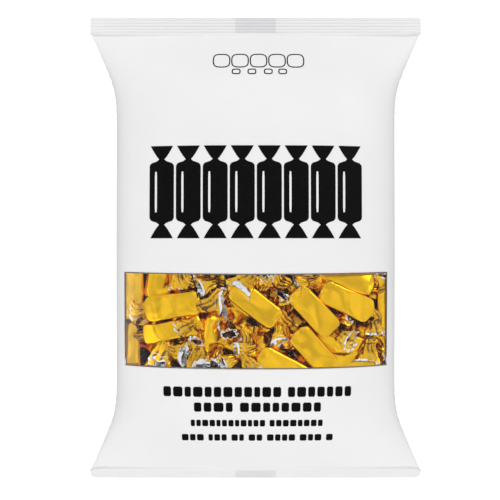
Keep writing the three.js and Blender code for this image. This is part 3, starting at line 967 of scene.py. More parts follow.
# The sweets of which one twist shows: x and y of its middle in mm, the way that it points and
# its rise above level in degrees, how deep under the film in mm, the share of turned-out
# lining, its lean sideways in degrees and its size beside the usual one.
SHOWN_TWISTS = (
    (-44.3, -49.1, 200, -14, 1.4, 0.0, 0, 0.75),
    (-30.8, -22.0, 195, 16, 3.0, 0.9, 0, 0.9),
    (-35.1, -15.8, 170, 20, 5.0, 0.1, 20, 0.7),
    (-6.7, -22.3, 228, 12, 2.2, 1.0, 0, 1.15),
    (-19.6, -25.7, 110, 35, 8.0, 0.3, 0, 1.0),
    (3.8, -20.1, 80, 30, 4.5, 0.0, 20 / 3, 0.9),
    (14.9, -31.2, 40, 42, 5.0, 0.2, 0, 0.7),
    (29.1, -19.5, 186, 14, 4.0, 0.0, 40 / 3, 0.8),
    (78.5, -20.4, 70, 28, 3.0, 0.4, 0, 0.9),
    (54.4, -43.0, 20, 25, 9.0, 0.6, 0, 0.8),
    (69.6, -65.5, 264, 8, 1.6, 0.8, 0, 1.1),
    (80.5, -62.0, 292, 14, 3.0, 0.2, 50 / 3, 1.05),
    (-4.8, -53.5, 85, -10, 5.0, 0.0, 0, 0.9),
    (-7.5, -62.0, 190, 10, 3.0, 0.7, 0, 0.9),
    (-16.9, -53.5, 60, 72, 2.5, 0.6, 0, 0.75),
    (-17.2, -69.5, 200, 24, 2.0, 0.6, 0, 0.75),
    (-57.6, -65.8, 250, 20, 2.0, 0.35, 0, 1.25),
    (-48.0, -64.6, 338, 18, 2.4, 1.0, 0, 0.95),
    (-37.5, -59.0, 80, 48, 2.5, 0.0, 0, 0.7),
    (-34.5, -67.6, 272, 14, 1.6, 0.8, 0, 1.05),
    (-24.0, -67.6, 250, 14, 5.5, 1.0, 0, 0.7),
    (-73.6, -38.7, 182, -38, 1.4, 0.25, 0, 0.75),
    (14.9, -52.8, 276, 10, 3.0, 0.9, 0, 0.8),
    (-5.5, -71.0, 300, 0, 4.5, 0.0, 0, 1.1),
    (-25.8, -34.8, 6, 10, 4.0, 0.9, 0, 1.25),
    (-45.4, -17.4, 280, -26, 1.6, 0.0, 0, 1.1),
)

# how steeply the bodies of those sweets dive, in degrees
DIVE = 60


class Wrapper:
    """One caramel in its twisted foil: a closed grid of rings along X, the same number of
    points in each. The rings turn back inside both twists, where the foil shows its lining."""

    COLUMNS = 48
    # the body's rings, as shares of its half length
    BODY = (0.0, 0.22, 0.42)
    # the rings of its end: how far past it in mm, half width and half height as shares of the
    # caramel's, how round the ring is and how far it is gathered
    END = (
        (-6.5, 1.0, 1.0, 0.0, 0.0),
        (-3.6, 1.0, 1.0, 0.0, 0.03),
        (-1.4, 0.90, 0.97, 0.0, 0.05),
        (-0.1, 0.70, 0.88, 0.0, 0.07),
        (0.5, 0.56, 0.64, 0.3, 0.13),
        (1.4, 0.40, 0.46, 0.8, 0.20),
        (2.6, 0.32, 0.38, 1.0, 0.24),
    )
    # the rings of the twist, as shares of its length, out to the cut edge and back inside
    OUTWARD = (0, 0.08, 0.18, 0.3, 0.42, 0.54, 0.66, 0.78, 0.89, 1)
    INWARD = (0.96, 0.72, 0.46, 0.2)
    # how far into the twist a ring counts as being: the rings of the body's end, what the
    # outer rings add to their share and what the inner ones add
    AT_END = 0.02
    OUTSIDE = 0.05
    INSIDE = 1
    # the foil is smooth up to the first of these, and shows its lining past the second
    SMOOTH = 0.005
    LINING = 1.9
    # the neck past the body, the gap between the foil's two sides, the radius of the caramel's
    # edges, and the neck's height beside its width
    NECK = 3.7 * MM
    WALL = 0.3 * MM
    EDGE = 1.7 * MM
    NECK_HEIGHT = 0.85
    # the fan's width beside the usual one, at random, and how its width and height open
    FAN_SIZES = (0.9, 1.1)
    OPENING = np.array([0.66, 0.5])
    # the pairs of creases round the gathered end and, at random, round the twist
    END_PAIRS = 4
    TWIST_PAIRS = (7, 11)
    # the turn of the twist at its neck and the usual turn of its fan, in degrees
    SPIN = (60, 130)
    FAN_TURN = 22
    # the depth of the pleats at the neck, what it gains by the cut edge, and the depth of the
    # finer creases, as shares of the twist's width
    PLEAT = 0.22
    PLEAT_GAIN = 0.1
    PULL = 0.07
    # how far the creases stray round the twist and their corners along it, the depth of the
    # lowest ones, how much that differs along them and how far they drift from row to row
    STRAY = 0.3
    STRAY_ALONG = 0.07
    LOWEST = 0.2
    ROUGHNESS = 0.35
    DRIFT = 0.5
    # the ring of the body's end past which the foil takes painted shade, and how fast the painted
    # shade deepens: all round, and in its creases
    LAST_UNSHADED = 2
    END_SHADE = 0.14
    END_CREASE_SHADE = 0.8
    # how uneven the cut edge is, as shares of the twist's length
    EDGE_SHIFT = 0.1
    EDGE_PULL = 0.05
    # the turned-out lining: its reach round the cut edge in radians for a share of 1, how much
    # its middle strays, its width as a share of the twist's length, how flat the foil is there
    # and how far its open side is drawn back
    OUT_REACH = 1.25
    OUT_STRAY = 0.4
    OUT_WIDTH = (0.13, 0.1)
    OUT_CALM = 0.85
    OUT_DRAWN_BACK = 1.6 * MM

    def __init__(self, sweets, seed):
        self.sweets = sweets
        self.seed = seed
        self.draw = np.random.default_rng(seed)
        angle = TAU * (np.arange(self.COLUMNS) + 0.5) / self.COLUMNS
        self.circle = np.stack([np.cos(angle), np.sin(angle)], -1)

    def section(self, wide, high, roundness):
        """One ring: a rectangle with narrow rounded edges, or an ellipse, or between them."""
        edge = min(self.EDGE, 0.6 * wide, 0.6 * high)
        side, corner = 3, 4
        flat = self.COLUMNS // 4 - side - corner
        turn = np.linspace(0, pi / 2, corner + 1)[:-1]
        up = (high - edge) * (np.arange(side) + 0.5) / side
        across = (wide - edge) * (1 - np.arange(flat) / flat)
        parts = (
            (np.full(side, wide), up),
            (wide - edge + edge * np.cos(turn), high - edge + edge * np.sin(turn)),
            (across, np.full(flat, high)),
        )
        quarter = np.concatenate([np.stack(part, -1) for part in parts])
        mirrored = quarter[::-1] * (-1, 1)
        box = np.concatenate([quarter, mirrored, -quarter, -mirrored])
        return box + (self.circle * (wide, high) - box) * roundness

    def creases(self, rows, pairs, keys_along=7):
        """Ridges and valleys round a twist, as a share from -1 to 1 at each of rows x columns:
        straight between a few irregular corners, so that the foil breaks into flat facets."""
        draw, columns = self.draw, self.COLUMNS
        keys = 2 * pairs
        at = (np.arange(keys) + draw.uniform(-self.STRAY, self.STRAY, keys)) * columns / keys
        along = np.linspace(0, 1, keys_along)
        along[1:-1] += draw.uniform(-self.STRAY_ALONG, self.STRAY_ALONG, keys_along - 2)
        sign = np.where(np.arange(keys) % 2, -1, 1)
        high = sign * draw.uniform(self.LOWEST, 1.0, (keys_along, keys))
        high = high + draw.normal(0, self.ROUGHNESS, (keys_along, keys))
        drift = np.cumsum(draw.normal(0, self.DRIFT, keys_along))
        number = np.arange(columns)
        across = np.stack(
            [np.interp(number, at + d, row, period=columns) for d, row in zip(drift, high)]
        )
        return np.stack([np.interp(rows, along, across[:, k]) for k in number], -1)

    def half(self, lean, lift, band, facing):
        """The rings of the +X half: their points, how far into the twist each ring is, and for each
        point how deep in a fold it is, which sets its painted shade, and whether the foil there is
        turned out."""
        s, draw = self.sweets, self.draw
        half, wide, high = s.body_length / 2, s.body_width / 2, s.body_height / 2
        neck = np.array([s.neck_width, s.neck_width * self.NECK_HEIGHT]) / 2
        fan = np.array([s.twist_width * draw.uniform(*self.FAN_SIZES), s.twist_depth]) / 2
        waist = half + self.NECK
        body = self.section(wide, high, 0)
        rings = [self.turned(share * half, body, 0) for share in self.BODY]
        into = [0] * len(self.BODY)
        fold = [np.zeros(self.COLUMNS)] * len(self.BODY)
        pairs = draw.integers(*self.TWIST_PAIRS)
        stations = np.linspace(0, 1, len(self.END))
        drawn_in = stations[:, None] ** 2
        gather = self.creases(stations, self.END_PAIRS, 4) * (1 - drawn_in)
        gather += self.creases(stations, pairs, 3) * drawn_in
        spin = radians(draw.uniform(*self.SPIN)) * draw.choice((-1, 1))
        fan_turn = radians(draw.normal(0, self.FAN_TURN))
        for number, (past, w, h, roundness, pleat) in enumerate(self.END):
            ring = self.section(wide * w, high * h, roundness)
            ring = ring * (1 + pleat * gather[number])[:, None]
            turn = spin * 0.5 * (number / len(self.END)) ** 2
            rings.append(self.turned(half + past * MM, ring, turn))
            into.append(self.AT_END * (number > 0))
            # painted shade: past the end's first rings the foil darkens, more in its creases
            tight = max(0, number - self.LAST_UNSHADED)
            crease = self.END_CREASE_SHADE * tight * pleat * gather[number]
            fold.append(np.clip(self.END_SHADE * tight - crease, 0, 1))
        edge = self.turned(0, self.circle * fan, fan_turn)[:, 1:]
        about = np.arctan2(edge[:, 1], edge[:, 0]) - np.arctan2(facing[1], facing[0])
        about = (about - draw.normal(0, self.OUT_STRAY) + pi) % TAU - pi
        turned_out = np.abs(about) < self.OUT_REACH * band
        strip = self.OUT_WIDTH[0] + self.OUT_WIDTH[1] * band
        shares = np.array(self.OUTWARD + self.INWARD)
        pleats = self.creases(shares, pairs)
        pull = self.creases(shares, pairs - 2)
        shift = self.creases(shares, pairs - 1)
        for number, share in enumerate(shares):
            inner = number >= len(self.OUTWARD)
            open_to = neck + (fan - neck) * share**self.OPENING
            open_to = open_to - (self.WALL if inner else 0)
            calm = 1 - self.OUT_CALM * turned_out * np.clip((share - 1 + 2 * strip) / strip, 0, 1)
            pleat = (self.PLEAT + self.PLEAT_GAIN * share) * pleats[number]
            size = 1 + calm * (pleat + self.PULL * pull[number])
            ring = self.circle * open_to * size[:, None]
            turn = spin * (0.5 + 0.5 * min(1, share * 2)) + (fan_turn - spin) * share
            points = self.turned(waist + s.twist_length * share, ring, turn)
            toward = points[:, 1:] @ facing / fan.max()
            uneven = self.EDGE_SHIFT * shift[number] + self.EDGE_PULL * pull[number]
            points[:, 0] += s.twist_length * share * calm * uneven
            drawn_back = np.clip(0.25 + 1.6 * toward, 0, 1)
            points[:, 0] -= self.OUT_DRAWN_BACK * band * share**1.5 * drawn_back
            rings.append(points)
            into.append(share + (self.INSIDE if inner else self.OUTSIDE))
            fold.append(self.fold_shade(pleats[number], pull[number], share, inner))
        rings, into = np.array(rings), np.array(into)
        cut_edge = 1 + self.OUTSIDE
        out = (into > cut_edge - strip) & (into < cut_edge + 0.01)
        out = turned_out & out[:, None]
        return self.bent(rings, waist, radians(lean), radians(lift)), into, np.array(fold), out

    @staticmethod
    def fold_shade(pleats, pull, share, inner):
        """How deep in a fold the foil of a twist's ring is, as the painted shade it takes: a little
        everywhere, then more in its valleys, in its finer creases, near the neck and inside the
        fan."""
        valley = np.clip(-1.5 * pleats - 0.2, 0, 1)
        crinkle = 0.3 * np.clip(-1.3 * pull, 0, 1)
        near = 0.35 * (1 - min(1, 1.6 * share))
        return np.clip(0.1 + valley + crinkle + near + inner * (1 - share), 0, 1)

    @staticmethod
    def turned(along, ring, turn):
        """A flat ring across X at its place along X, turned about X."""
        c, s = cos(turn), sin(turn)
        ring = ring @ np.array([[c, s], [-s, c]])
        return np.column_stack([np.full(len(ring), along), ring])

    @staticmethod
    def bent(rings, waist, lean, lift):
        """Leans a twist sideways and up or down, from its neck."""
        bend_length = 4 * MM
        out = np.maximum(0, rings[..., 0] - waist)
        base = np.minimum(rings[..., 0], waist)
        grow = np.minimum(1, out / bend_length)
        side, up = lean * grow, lift * grow
        y, z = rings[..., 1], rings[..., 2]
        return np.stack(
            [
                base + out * np.cos(side) * np.cos(up) - y * np.sin(side) - z * np.sin(up),
                out * np.sin(side) + y * np.cos(side),
                out * np.sin(up) + z * np.cos(up),
            ],
            -1,
        )

    def build(self, left, right, facing=(0, 1)):
        """Points, faces, which faces are lining, which are smooth, and each point's fold, which
        sets its painted shade. left and right give each twist's lean, lift and share of turned-out
        lining, and facing is the way of the twists' open side, across X."""
        facing = np.array(facing)
        lean, lift, band = left
        left, into_left, fold_left, out_left = self.half(-lean, lift, band, facing)
        lean, lift, band = right
        right, into_right, fold_right, out_right = self.half(lean, lift, band, facing)
        grid = np.concatenate([left[::-1] * (-1, 1, 1), right[1:]])
        into = np.concatenate([into_left[::-1], into_right[1:]])
        fold = np.concatenate([fold_left[::-1], fold_right[1:]])
        out = np.concatenate([out_left[::-1], out_right[1:]])
        self.dent(grid)
        rows, around = grid.shape[:2]
        ring = np.arange(around)
        ahead = (ring + 1) % around
        last = (rows - 1) * around
        pole = np.full(around, rows * around)
        faces = np.concatenate(
            [
                grid_faces(rows, around, wrap=True),
                np.stack([ahead, ring, pole, pole], -1),
                np.stack([last + ring, last + ahead, pole + 1, pole + 1], -1),
            ]
        )
        poles = [grid[0].mean(axis=0), grid[-1].mean(axis=0)]
        points = np.concatenate([grid.reshape(-1, 3), poles])
        lining = np.maximum(into[:-1], into[1:])[:, None] > self.LINING
        lining = lining | (out[:-1] & out[1:])
        smooth = np.repeat((into[:-1] + into[1:]) / 2 < self.SMOOTH, around)
        caps = np.zeros(2 * around, bool)
        lining = np.concatenate([lining.ravel(), caps])
        smooth = np.concatenate([smooth, caps])
        # the poles at the twists' cut ends take full painted shade
        return points, faces, lining, smooth, np.concatenate([fold.ravel(), (1, 1)])

    def dent(self, grid):
        """Crowns the caramel's faces slightly and lets the foil over it lie unevenly."""
        crown_height, slack_height, side_height = 0.5 * MM, 0.22 * MM, 0.15 * MM
        s = self.sweets
        x, y, z = grid[..., 0], grid[..., 1], grid[..., 2]
        inner = np.clip(1 - np.abs(x) / (s.body_length / 2 + 1 * MM), 0, 1) ** 0.5
        crown = crown_height * inner * np.clip(1 - (2 * y / s.body_width) ** 2, 0, 1)
        slack = slack_height * ripple(self.seed + 500, 14 * MM, x, y, z) * (inner > 0)
        on_face = np.abs(z) > s.body_height * 0.3
        grid[..., 2] += np.sign(z) * (crown + slack) * on_face
        side = side_height * ripple(self.seed + 700, 12 * MM, x, z)
        grid[..., 1] += side * inner * np.sign(y)


def placement(film, sweets, x, y, yaw, roll, pitch, deep):
    """Lays a sweet under the film: its own Z leans part of the way to the film's normal, then
    yaw, pitch and roll."""
    follow = 0.4
    gap = 0.8
    x, y = x * MM, y * MM
    up = Vector((0, 0, 1))
    normal = up.lerp(film.normal(x, y), follow).normalized()
    lying = up.rotation_difference(normal).to_matrix().to_4x4()
    own = (
        Matrix.Rotation(radians(yaw), 4, "Z")
        @ Matrix.Rotation(radians(-pitch), 4, "Y")
        @ Matrix.Rotation(radians(roll), 4, "X")
    )
    thick = np.hypot(
        sweets.body_height / 2 * cos(radians(roll)), sweets.body_width / 2 * sin(radians(roll))
    )
    middle = (x, y, film.front(x, y) - (thick + (deep + gap) * MM) / normal.z)
    return Matrix.Translation(middle) @ lying @ own


def twist_placement(film, sweets, x, y, toward, deep, bend, size):
    """Lays a sweet so that the middle of its right twist is at a spot under the film, while
    its body dives steeply from there."""
    spot = Vector((x * MM, y * MM, float(film.front(x * MM, y * MM)) - deep * MM))
    turn = Matrix.Rotation(radians(toward), 4, "Z") @ Matrix.Rotation(radians(-DIVE), 4, "Y")
    middle_share = 0.55
    out = middle_share * sweets.twist_length
    waist = sweets.body_length / 2 + Wrapper.NECK
    middle = (waist + out * cos(radians(bend)), 0, out * sin(radians(bend)))
    back = Matrix.Translation([-value for value in middle])
    return Matrix.Translation(spot) @ turn @ Matrix.Scale(size, 4) @ back


def keep_inside(film, points, gap):
    """Presses points inward so that none comes within the gap of the film."""
    side_gap = 4 * MM
    x, y, z = points.T
    side = film.half_width(y) - side_gap
    x = np.clip(x, -side, side)
    return np.column_stack([x, y, np.clip(z, film.back(x, y) + gap, film.front(x, y) - gap)])


def moved(points, matrix):
    """Points turned, scaled and moved by a matrix."""
    turn = np.array(matrix.to_3x3())
    return points @ turn.T + np.array(matrix.translation)


def foil_piece(name, made, sweets):
    """One mesh of wrapped sweets from the points, faces and attributes of each."""
    points, faces, lining, smooth, fold = zip(*made)
    first = np.cumsum([0, *map(len, points[:-1])])
    faces = [part + start for part, start in zip(faces, first)]
    colours = (sweets.gold_colour, sweets.gathered_shade_colour, sweets.crease_shade_colour)
    known = bpy.data.materials
    gold = known.get("wrapper_gold") or gold_foil(*colours)
    silver = known.get("wrapper_lining") or silver_lining(sweets.silver_colour)
    piece = new_piece(
        name,
        np.concatenate(points),
        np.concatenate(faces),
        [gold, silver],
        finishes=np.concatenate(lining),
        smooth=np.concatenate(smooth),
    )
    # the fold sets how much painted shade the gold foil takes
    store(piece, "fold", "FLOAT", "POINT", np.concatenate(fold))
    return piece


class SWEETBAG_OT_shown_sweets(Operator):
    """Build the wrapped caramels that show in the window"""

    bl_idname = "sweet_bag.shown_sweets"
    bl_label = "Caramels in the window"

    # how close to the film the foil may come
    GAP = 0.7 * MM
    # the seeds of the first sweet of each piece
    CARAMEL_SEED = 100
    TWIST_SEED = 300

    def lay(self, name, seed, places, twists):
        """Makes one piece of the sweets at the given places, each with its twists. The sweets
        of a piece take their seeds in turn from the first one."""
        made = []
        for number, (place, (left, right)) in enumerate(zip(places, twists)):
            up = place.to_3x3().inverted() @ Vector((0, 0, 1))
            across = Vector((up.y, up.z))
            across = across.normalized() if across.length > 0.1 else Vector((0, 1))
            wrapper = Wrapper(self.sweets, seed + number)
            points, *rest = wrapper.build(left, right, across)
            made.append((keep_inside(self.film, moved(points, place), self.GAP), *rest))
        finish_piece(foil_piece(name, made, self.sweets), "gold_foil", "caramels")

    def execute(self, context):
        self.sweets = context.scene.sweet_sweets
        self.film = Film(context.scene.sweet_bag)
        known = (self.film, self.sweets)
        places = [placement(*known, *row[:6]) for row in SHOWN_SWEETS]
        self.lay("shown_caramels", self.CARAMEL_SEED, places, [row[6:] for row in SHOWN_SWEETS])
        places, twists = [], []
        for x, y, toward, rise, deep, band, lean, size in SHOWN_TWISTS:
            bend = rise - DIVE
            places.append(twist_placement(*known, x, y, toward, deep, bend, size))
            twists.append(((0, 0, 0), (lean, bend, band)))
        self.lay("shown_twists", self.TWIST_SEED, places, twists)
        return {"FINISHED"}


def strewing_tree():
    """Sets sweets of a few shapes at points, each turned by the point's own attribute."""
    tree = Tree(
        "strewn_sweets",
        [
            ("Shapes", "Collection", None),
            ("Foil", "Material", None),
            ("Lining", "Material", None),
        ],
    )
    shapes = tree.add("GeometryNodeCollectionInfo", tree.given["Shapes"], True, True)
    turn = tree.add("FunctionNodeEulerToRotation", tree.attribute("turn", "FLOAT_VECTOR"))
    shape = tree.attribute("shape", "INT")
    points = tree.given["Geometry"]
    strewn = tree.add("GeometryNodeInstanceOnPoints", points, None, shapes, True, shape, turn)
    lining = tree.attribute("is_lining", "BOOLEAN")
    tree.end(strewn, tree.given["Foil"], (tree.given["Lining"], lining))
    return tree


class SWEETBAG_OT_hidden_sweets(Operator):
    """Strew the wrapped caramels that lie under those in the window"""

    bl_idname = "sweet_bag.hidden_sweets"
    bl_label = "Caramels underneath"

    # how many shapes of them there are, and the first one's seed
    KINDS = 5
    FIRST_SEED = 40
    # they lie in two layers of this many rows, which start this far past the window's edges
    ROWS = 4
    PAST_WINDOW = 7 * MM
    # how far under the film the middles of the upper layer and of the lower one are, and how
    # far a sweet strays across and along the bag, in mm
    UPPER = (19, 22)
    LOWER = (26, 30)
    STRAY = (2, 5)
    # the usual tilt of a sweet, in radians, and half its width where it lies along the bag
    TILT = 0.12
    HALF_WIDTH = 9 * MM
    # how much more painted shade its foil takes than that of the shown ones
    SHADE = 0.65
    # how close to the film the foil may come
    GAP = 1.2 * MM

    def kinds(self, sweets):
        """A collection of sweets to be set at the points. Their twists lean different ways and
        show more or less of their lining."""
        shapes = bpy.data.collections.new("sweet_shapes")
        for kind in range(self.KINDS):
            wrapper = Wrapper(sweets, self.FIRST_SEED + kind)
            left, right = (12 * kind - 20, 0, 0.1 * kind), (18 - 9 * kind, 0, 0.4 - 0.1 * kind)
            points, faces, lining, smooth, fold = wrapper.build(left, right)
            shape = new_piece(f"sweet_shape_{kind}", points, faces, smooth=smooth)
            # the hidden sweets' foil takes more painted shade, for the shade deeper in the pile
            store(shape, "fold", "FLOAT", "POINT", np.clip(fold + self.SHADE, 0, 1))
            store(shape, "is_lining", "BOOLEAN", "FACE", lining)
            bpy.context.collection.objects.unlink(shape)
            shapes.objects.link(shape)
        return shapes

    def execute(self, context):
        bag, sweets = context.scene.sweet_bag, context.scene.sweet_sweets
        film = Film(bag)
        shapes = self.kinds(sweets)
        draw = np.random.default_rng(sweets.seed)
        count = sweets.hidden_count
        columns = int(np.ceil(count / (2 * self.ROWS)))
        roll = draw.uniform(0, TAU, count)
        tilt = draw.normal(0, self.TILT, count)
        yaw = draw.uniform(0, TAU, count)
        reach = sweets.body_length / 2 + Wrapper.NECK + sweets.twist_length
        room = bag.window_width / 2 - reach * np.abs(np.cos(yaw))
        room = room - self.HALF_WIDTH * np.abs(np.sin(yaw))
        number = np.arange(count)
        x = np.linspace(-1, 1, columns)[number % columns] * room
        row = number // columns
        low, high = bag.window_bottom - self.PAST_WINDOW, bag.window_top + self.PAST_WINDOW
        y = np.linspace(low, high, self.ROWS)[row % self.ROWS]
        x = x + draw.uniform(-self.STRAY[0], self.STRAY[0], count) * MM
        y = y + draw.uniform(-self.STRAY[1], self.STRAY[1], count) * MM
        upper, lower = draw.uniform(*self.UPPER, count), draw.uniform(*self.LOWER, count)
        # the film is lower over a sweet's outer end than over its middle
        out = np.abs(x) + 0.8 * reach * np.abs(np.cos(yaw))
        z = film.front(out, y) - np.where(row < self.ROWS, upper, lower) * MM
        piece = new_piece("hidden_caramels", np.column_stack([x, y, z]))
        kind = draw.integers(0, self.KINDS, count).astype(np.int32)
        store(piece, "turn", "FLOAT_VECTOR", "POINT", np.column_stack([roll, tilt, yaw]))
        store(piece, "shape", "INT", "POINT", kind)
        gold, silver = (bpy.data.materials[name] for name in ("wrapper_gold", "wrapper_lining"))
        strewing_tree().apply(piece, Shapes=shapes, Foil=gold, Lining=silver)
        for shape in list(shapes.objects):
            bpy.data.objects.remove(shape)
        bpy.data.collections.remove(shapes)
        mesh = piece.data
        points = np.empty(len(mesh.vertices) * 3)
        mesh.vertices.foreach_get("co", points)
        points = keep_inside(film, points.reshape(-1, 3), self.GAP)
        mesh.vertices.foreach_set("co", points.ravel())
        mesh.update()
        finish_piece(piece, "gold_foil", "caramels")
        return {"FINISHED"}


# ------------------------------------------------------------------ the print

# The row of plain figures: how many there are, then in mm where the first one is across and
# along the bag, their pitch across it, and the width and height of each.
FIGURES = 8
FIRST_FIGURE = (-58.0, 34.7)
FIGURE_PITCH = 16.55
FIGURE_SIZE = (15.3, 57.0)

# The white gleam on each figure, in mm: how far left of its middle it is, and its size.
GLEAM_SHIFT = 3.6
GLEAM_SIZE = (1.3, 25.0)

# The rows of bars under the window: left end, right end, place along the bag and height in mm,
# then how many bars are in each group.
BAR_ROWS = (
    (-57.4, 59.2, -88.6, 6.4, (12, 7)),
    (-38.4, 40.4, -98.5, 6.0, (4, 8)),
    (-40.6, 41.8, -109.1, 4.4, (12, 8)),
    (-46.6, 48.6, -119.2, 4.6, (3, 3, 2, 2, 4, 3, 1)),
)

# The rows of rounded outlines over the figures: name, width and height in mm, how square they
# are and the points round each, then their place along the bag and their places across it.
BADGES = (
    ("print_badge", 10.4, 9.3, 3.2, 48, 118.9, (-21.6, -9.9, 1.8, 13.5, 25.2)),
    ("print_badge_row", 4.8, 3.2, 4.0, 24, 111.1, (-12.3, -2.4, 7.9, 16.9)),
)
BADGE_LINE = 0.75 * MM

# the size in mm that lays a shape as large as it was drawn
AS_DRAWN = (1000, 1000)


def plate(profile, rows, columns):
    """A flat mark from 0 to 1 thick, one unit wide and high at most. profile gives its half
    width, as a share of the whole, at each height from -0.5 to 0.5."""
    least = 0.004
    t = np.linspace(-0.5, 0.5, rows)
    half = np.maximum(least, [profile(v) for v in t])
    x = np.linspace(-1, 1, columns)[None, :] * half[:, None]
    y = t[:, None] + 0 * x
    return slab(x, y, 1 + 0 * x, 0 * x)


def closed_line(path, width):
    """A flat closed line from 0 to 1 thick along a path of x and y, which runs round to the
    left of its own way."""
    path = np.asarray(path)
    ahead = np.roll(path, -1, axis=0) - path
    before = path - np.roll(path, 1, axis=0)
    ahead /= np.linalg.norm(ahead, axis=1)[:, None]
    before /= np.linalg.norm(before, axis=1)[:, None]
    out = np.stack([(ahead + before)[:, 1], -(ahead + before)[:, 0]], -1)
    sharpest_corner = 0.8
    out *= width / np.maximum(sharpest_corner, (out**2).sum(axis=1))[:, None]
    rims = [(path + out, 1), (path - out, 1), (path - out, 0), (path + out, 0)]
    points = np.stack([np.column_stack([rim, np.full(len(rim), z)]) for rim, z in rims], axis=1)
    rows = len(path)
    faces = grid_faces(rows + 1, 4, wrap=True) % (rows * 4)
    return points.reshape(-1, 3), faces


def lay_tree():
    """Lays flat marks on the film: one at each point, of the size in its attribute."""
    tree = Tree(
        "laid_print",
        [
            ("Mark", "Object", None),
            ("Film", "Object", None),
            ("Ink height", "Float", 0.1 * MM),
            ("Ink", "Material", None),
        ],
    )
    mark = tree.add("GeometryNodeObjectInfo", tree.given["Mark"], out="Geometry")
    size = tree.attribute("size", "FLOAT_VECTOR")
    marks = (tree.given["Geometry"], None, mark, None, None, None, size)
    laid = tree.add("GeometryNodeInstanceOnPoints", *marks)
    laid = tree.add("GeometryNodeRealizeInstances", laid)
    # each point drops on the film from well above it. A mark's upper side then stands its
    # whole height off the film, and its lower side is half as deep inside it.
    start, inside = 0.2, 0.5
    place = tree.add("GeometryNodeInputPosition")
    parts = tree.tree.nodes.new("ShaderNodeSeparateXYZ")
    tree.tree.links.new(place, parts.inputs[0])
    above = tree.add("ShaderNodeCombineXYZ", parts.outputs[0], parts.outputs[1], start)
    film = tree.add("GeometryNodeObjectInfo", tree.given["Film"], out="Geometry")
    ray = tree.tree.nodes.new("GeometryNodeRaycast")
    tree.tree.links.new(film, ray.inputs["Target Geometry"])
    tree.tree.links.new(above, ray.inputs["Source Position"])
    ray.inputs["Ray Direction"].default_value = (0, 0, -1)
    ray.inputs["Ray Length"].default_value = 1
    hit = tree.tree.nodes.new("ShaderNodeSeparateXYZ")
    tree.tree.links.new(ray.outputs["Hit Position"], hit.inputs[0])
    lift = tree.math("MULTIPLY_ADD", parts.outputs[2], 1 + inside, -inside)
    height = tree.math("MULTIPLY_ADD", lift, tree.given["Ink height"], hit.outputs[2])
    there = tree.add("ShaderNodeCombineXYZ", parts.outputs[0], parts.outputs[1], height)
    laid = tree.add("GeometryNodeSetPosition", laid, None, there)
    tree.end(laid, tree.given["Ink"])
    return tree


def rounded(near):
    """Climbs from 0 to 1 as a quarter of a circle does."""
    return (1 - (1 - near) ** 2) ** 0.5


def sweet_outline(t):
    """Half width of a plain wrapped sweet standing on end: a rounded body and two fans."""
    body, neck, rounding = 0.33, 0.355, 0.055
    shoulder_width, neck_width, fan_growth = 0.42, 0.20, 0.72
    far = abs(t)
    if far < body:
        near = min(1.0, max(0.0, (body - far) / rounding))
        return 0.5 * (shoulder_width + (1 - shoulder_width) * rounded(near))
    if far < neck:
        drop = shoulder_width - neck_width
        return 0.5 * (shoulder_width - drop * (far - body) / (neck - body))
    return 0.5 * (neck_width + fan_growth * ((far - neck) / (0.5 - neck)) ** 0.8)


def block_outline(t):
    """Half width of a bar with softly rounded ends."""
    end_width, rounding = 0.72, 0.12
    near = min(1.0, (0.5 - abs(t)) / rounding)
    return 0.5 * (end_width + (1 - end_width) * rounded(near))


def bars_row(left, right, y, height, groups, seed):
    """A row of small bars in uneven groups: x, y, width and height of each, in mm."""
    draw = np.random.default_rng(seed)
    widths = [draw.uniform(0.6, 1.0, count) for count in groups]
    gap, space = 0.22, 0.7
    total = sum(w.sum() + gap * (len(w) - 1) for w in widths) + space * (len(groups) - 1)
    unit = (right - left) / total
    marks, x = [], left
    for group in widths:
        for share in group:
            marks.append((x + share * unit / 2, y, share * unit, height))
            x += (share + gap) * unit
        x += (space - gap) * unit
    return marks


def rounded_path(wide, high, power, steps):
    """A closed path round a softened rectangle."""
    turn = TAU * np.arange(steps) / steps
    c, s = np.cos(turn), np.sin(turn)
    grow = (np.abs(c) ** power + np.abs(s) ** power) ** (-1 / power)
    return np.stack([wide / 2 * c * grow, high / 2 * s * grow], -1)


def window_path(bag, past):
    """A closed path round the window, a little past its bowed edges."""
    wide = bag.window_width / 2 + past
    bottom, top = bag.window_bottom - past, bag.window_top + past
    side = np.linspace(bottom, top, 25)[1:-1]
    along = np.linspace(-wide, wide, 61)
    x = np.concatenate([along, np.full(len(side), wide)])
    y = np.concatenate([np.full(len(along), bottom), side])
    x = np.concatenate([x, -x])
    y = np.concatenate([y, bag.window_bottom + bag.window_top - y])
    return np.stack([x, bowed(bag, x, y)], -1)


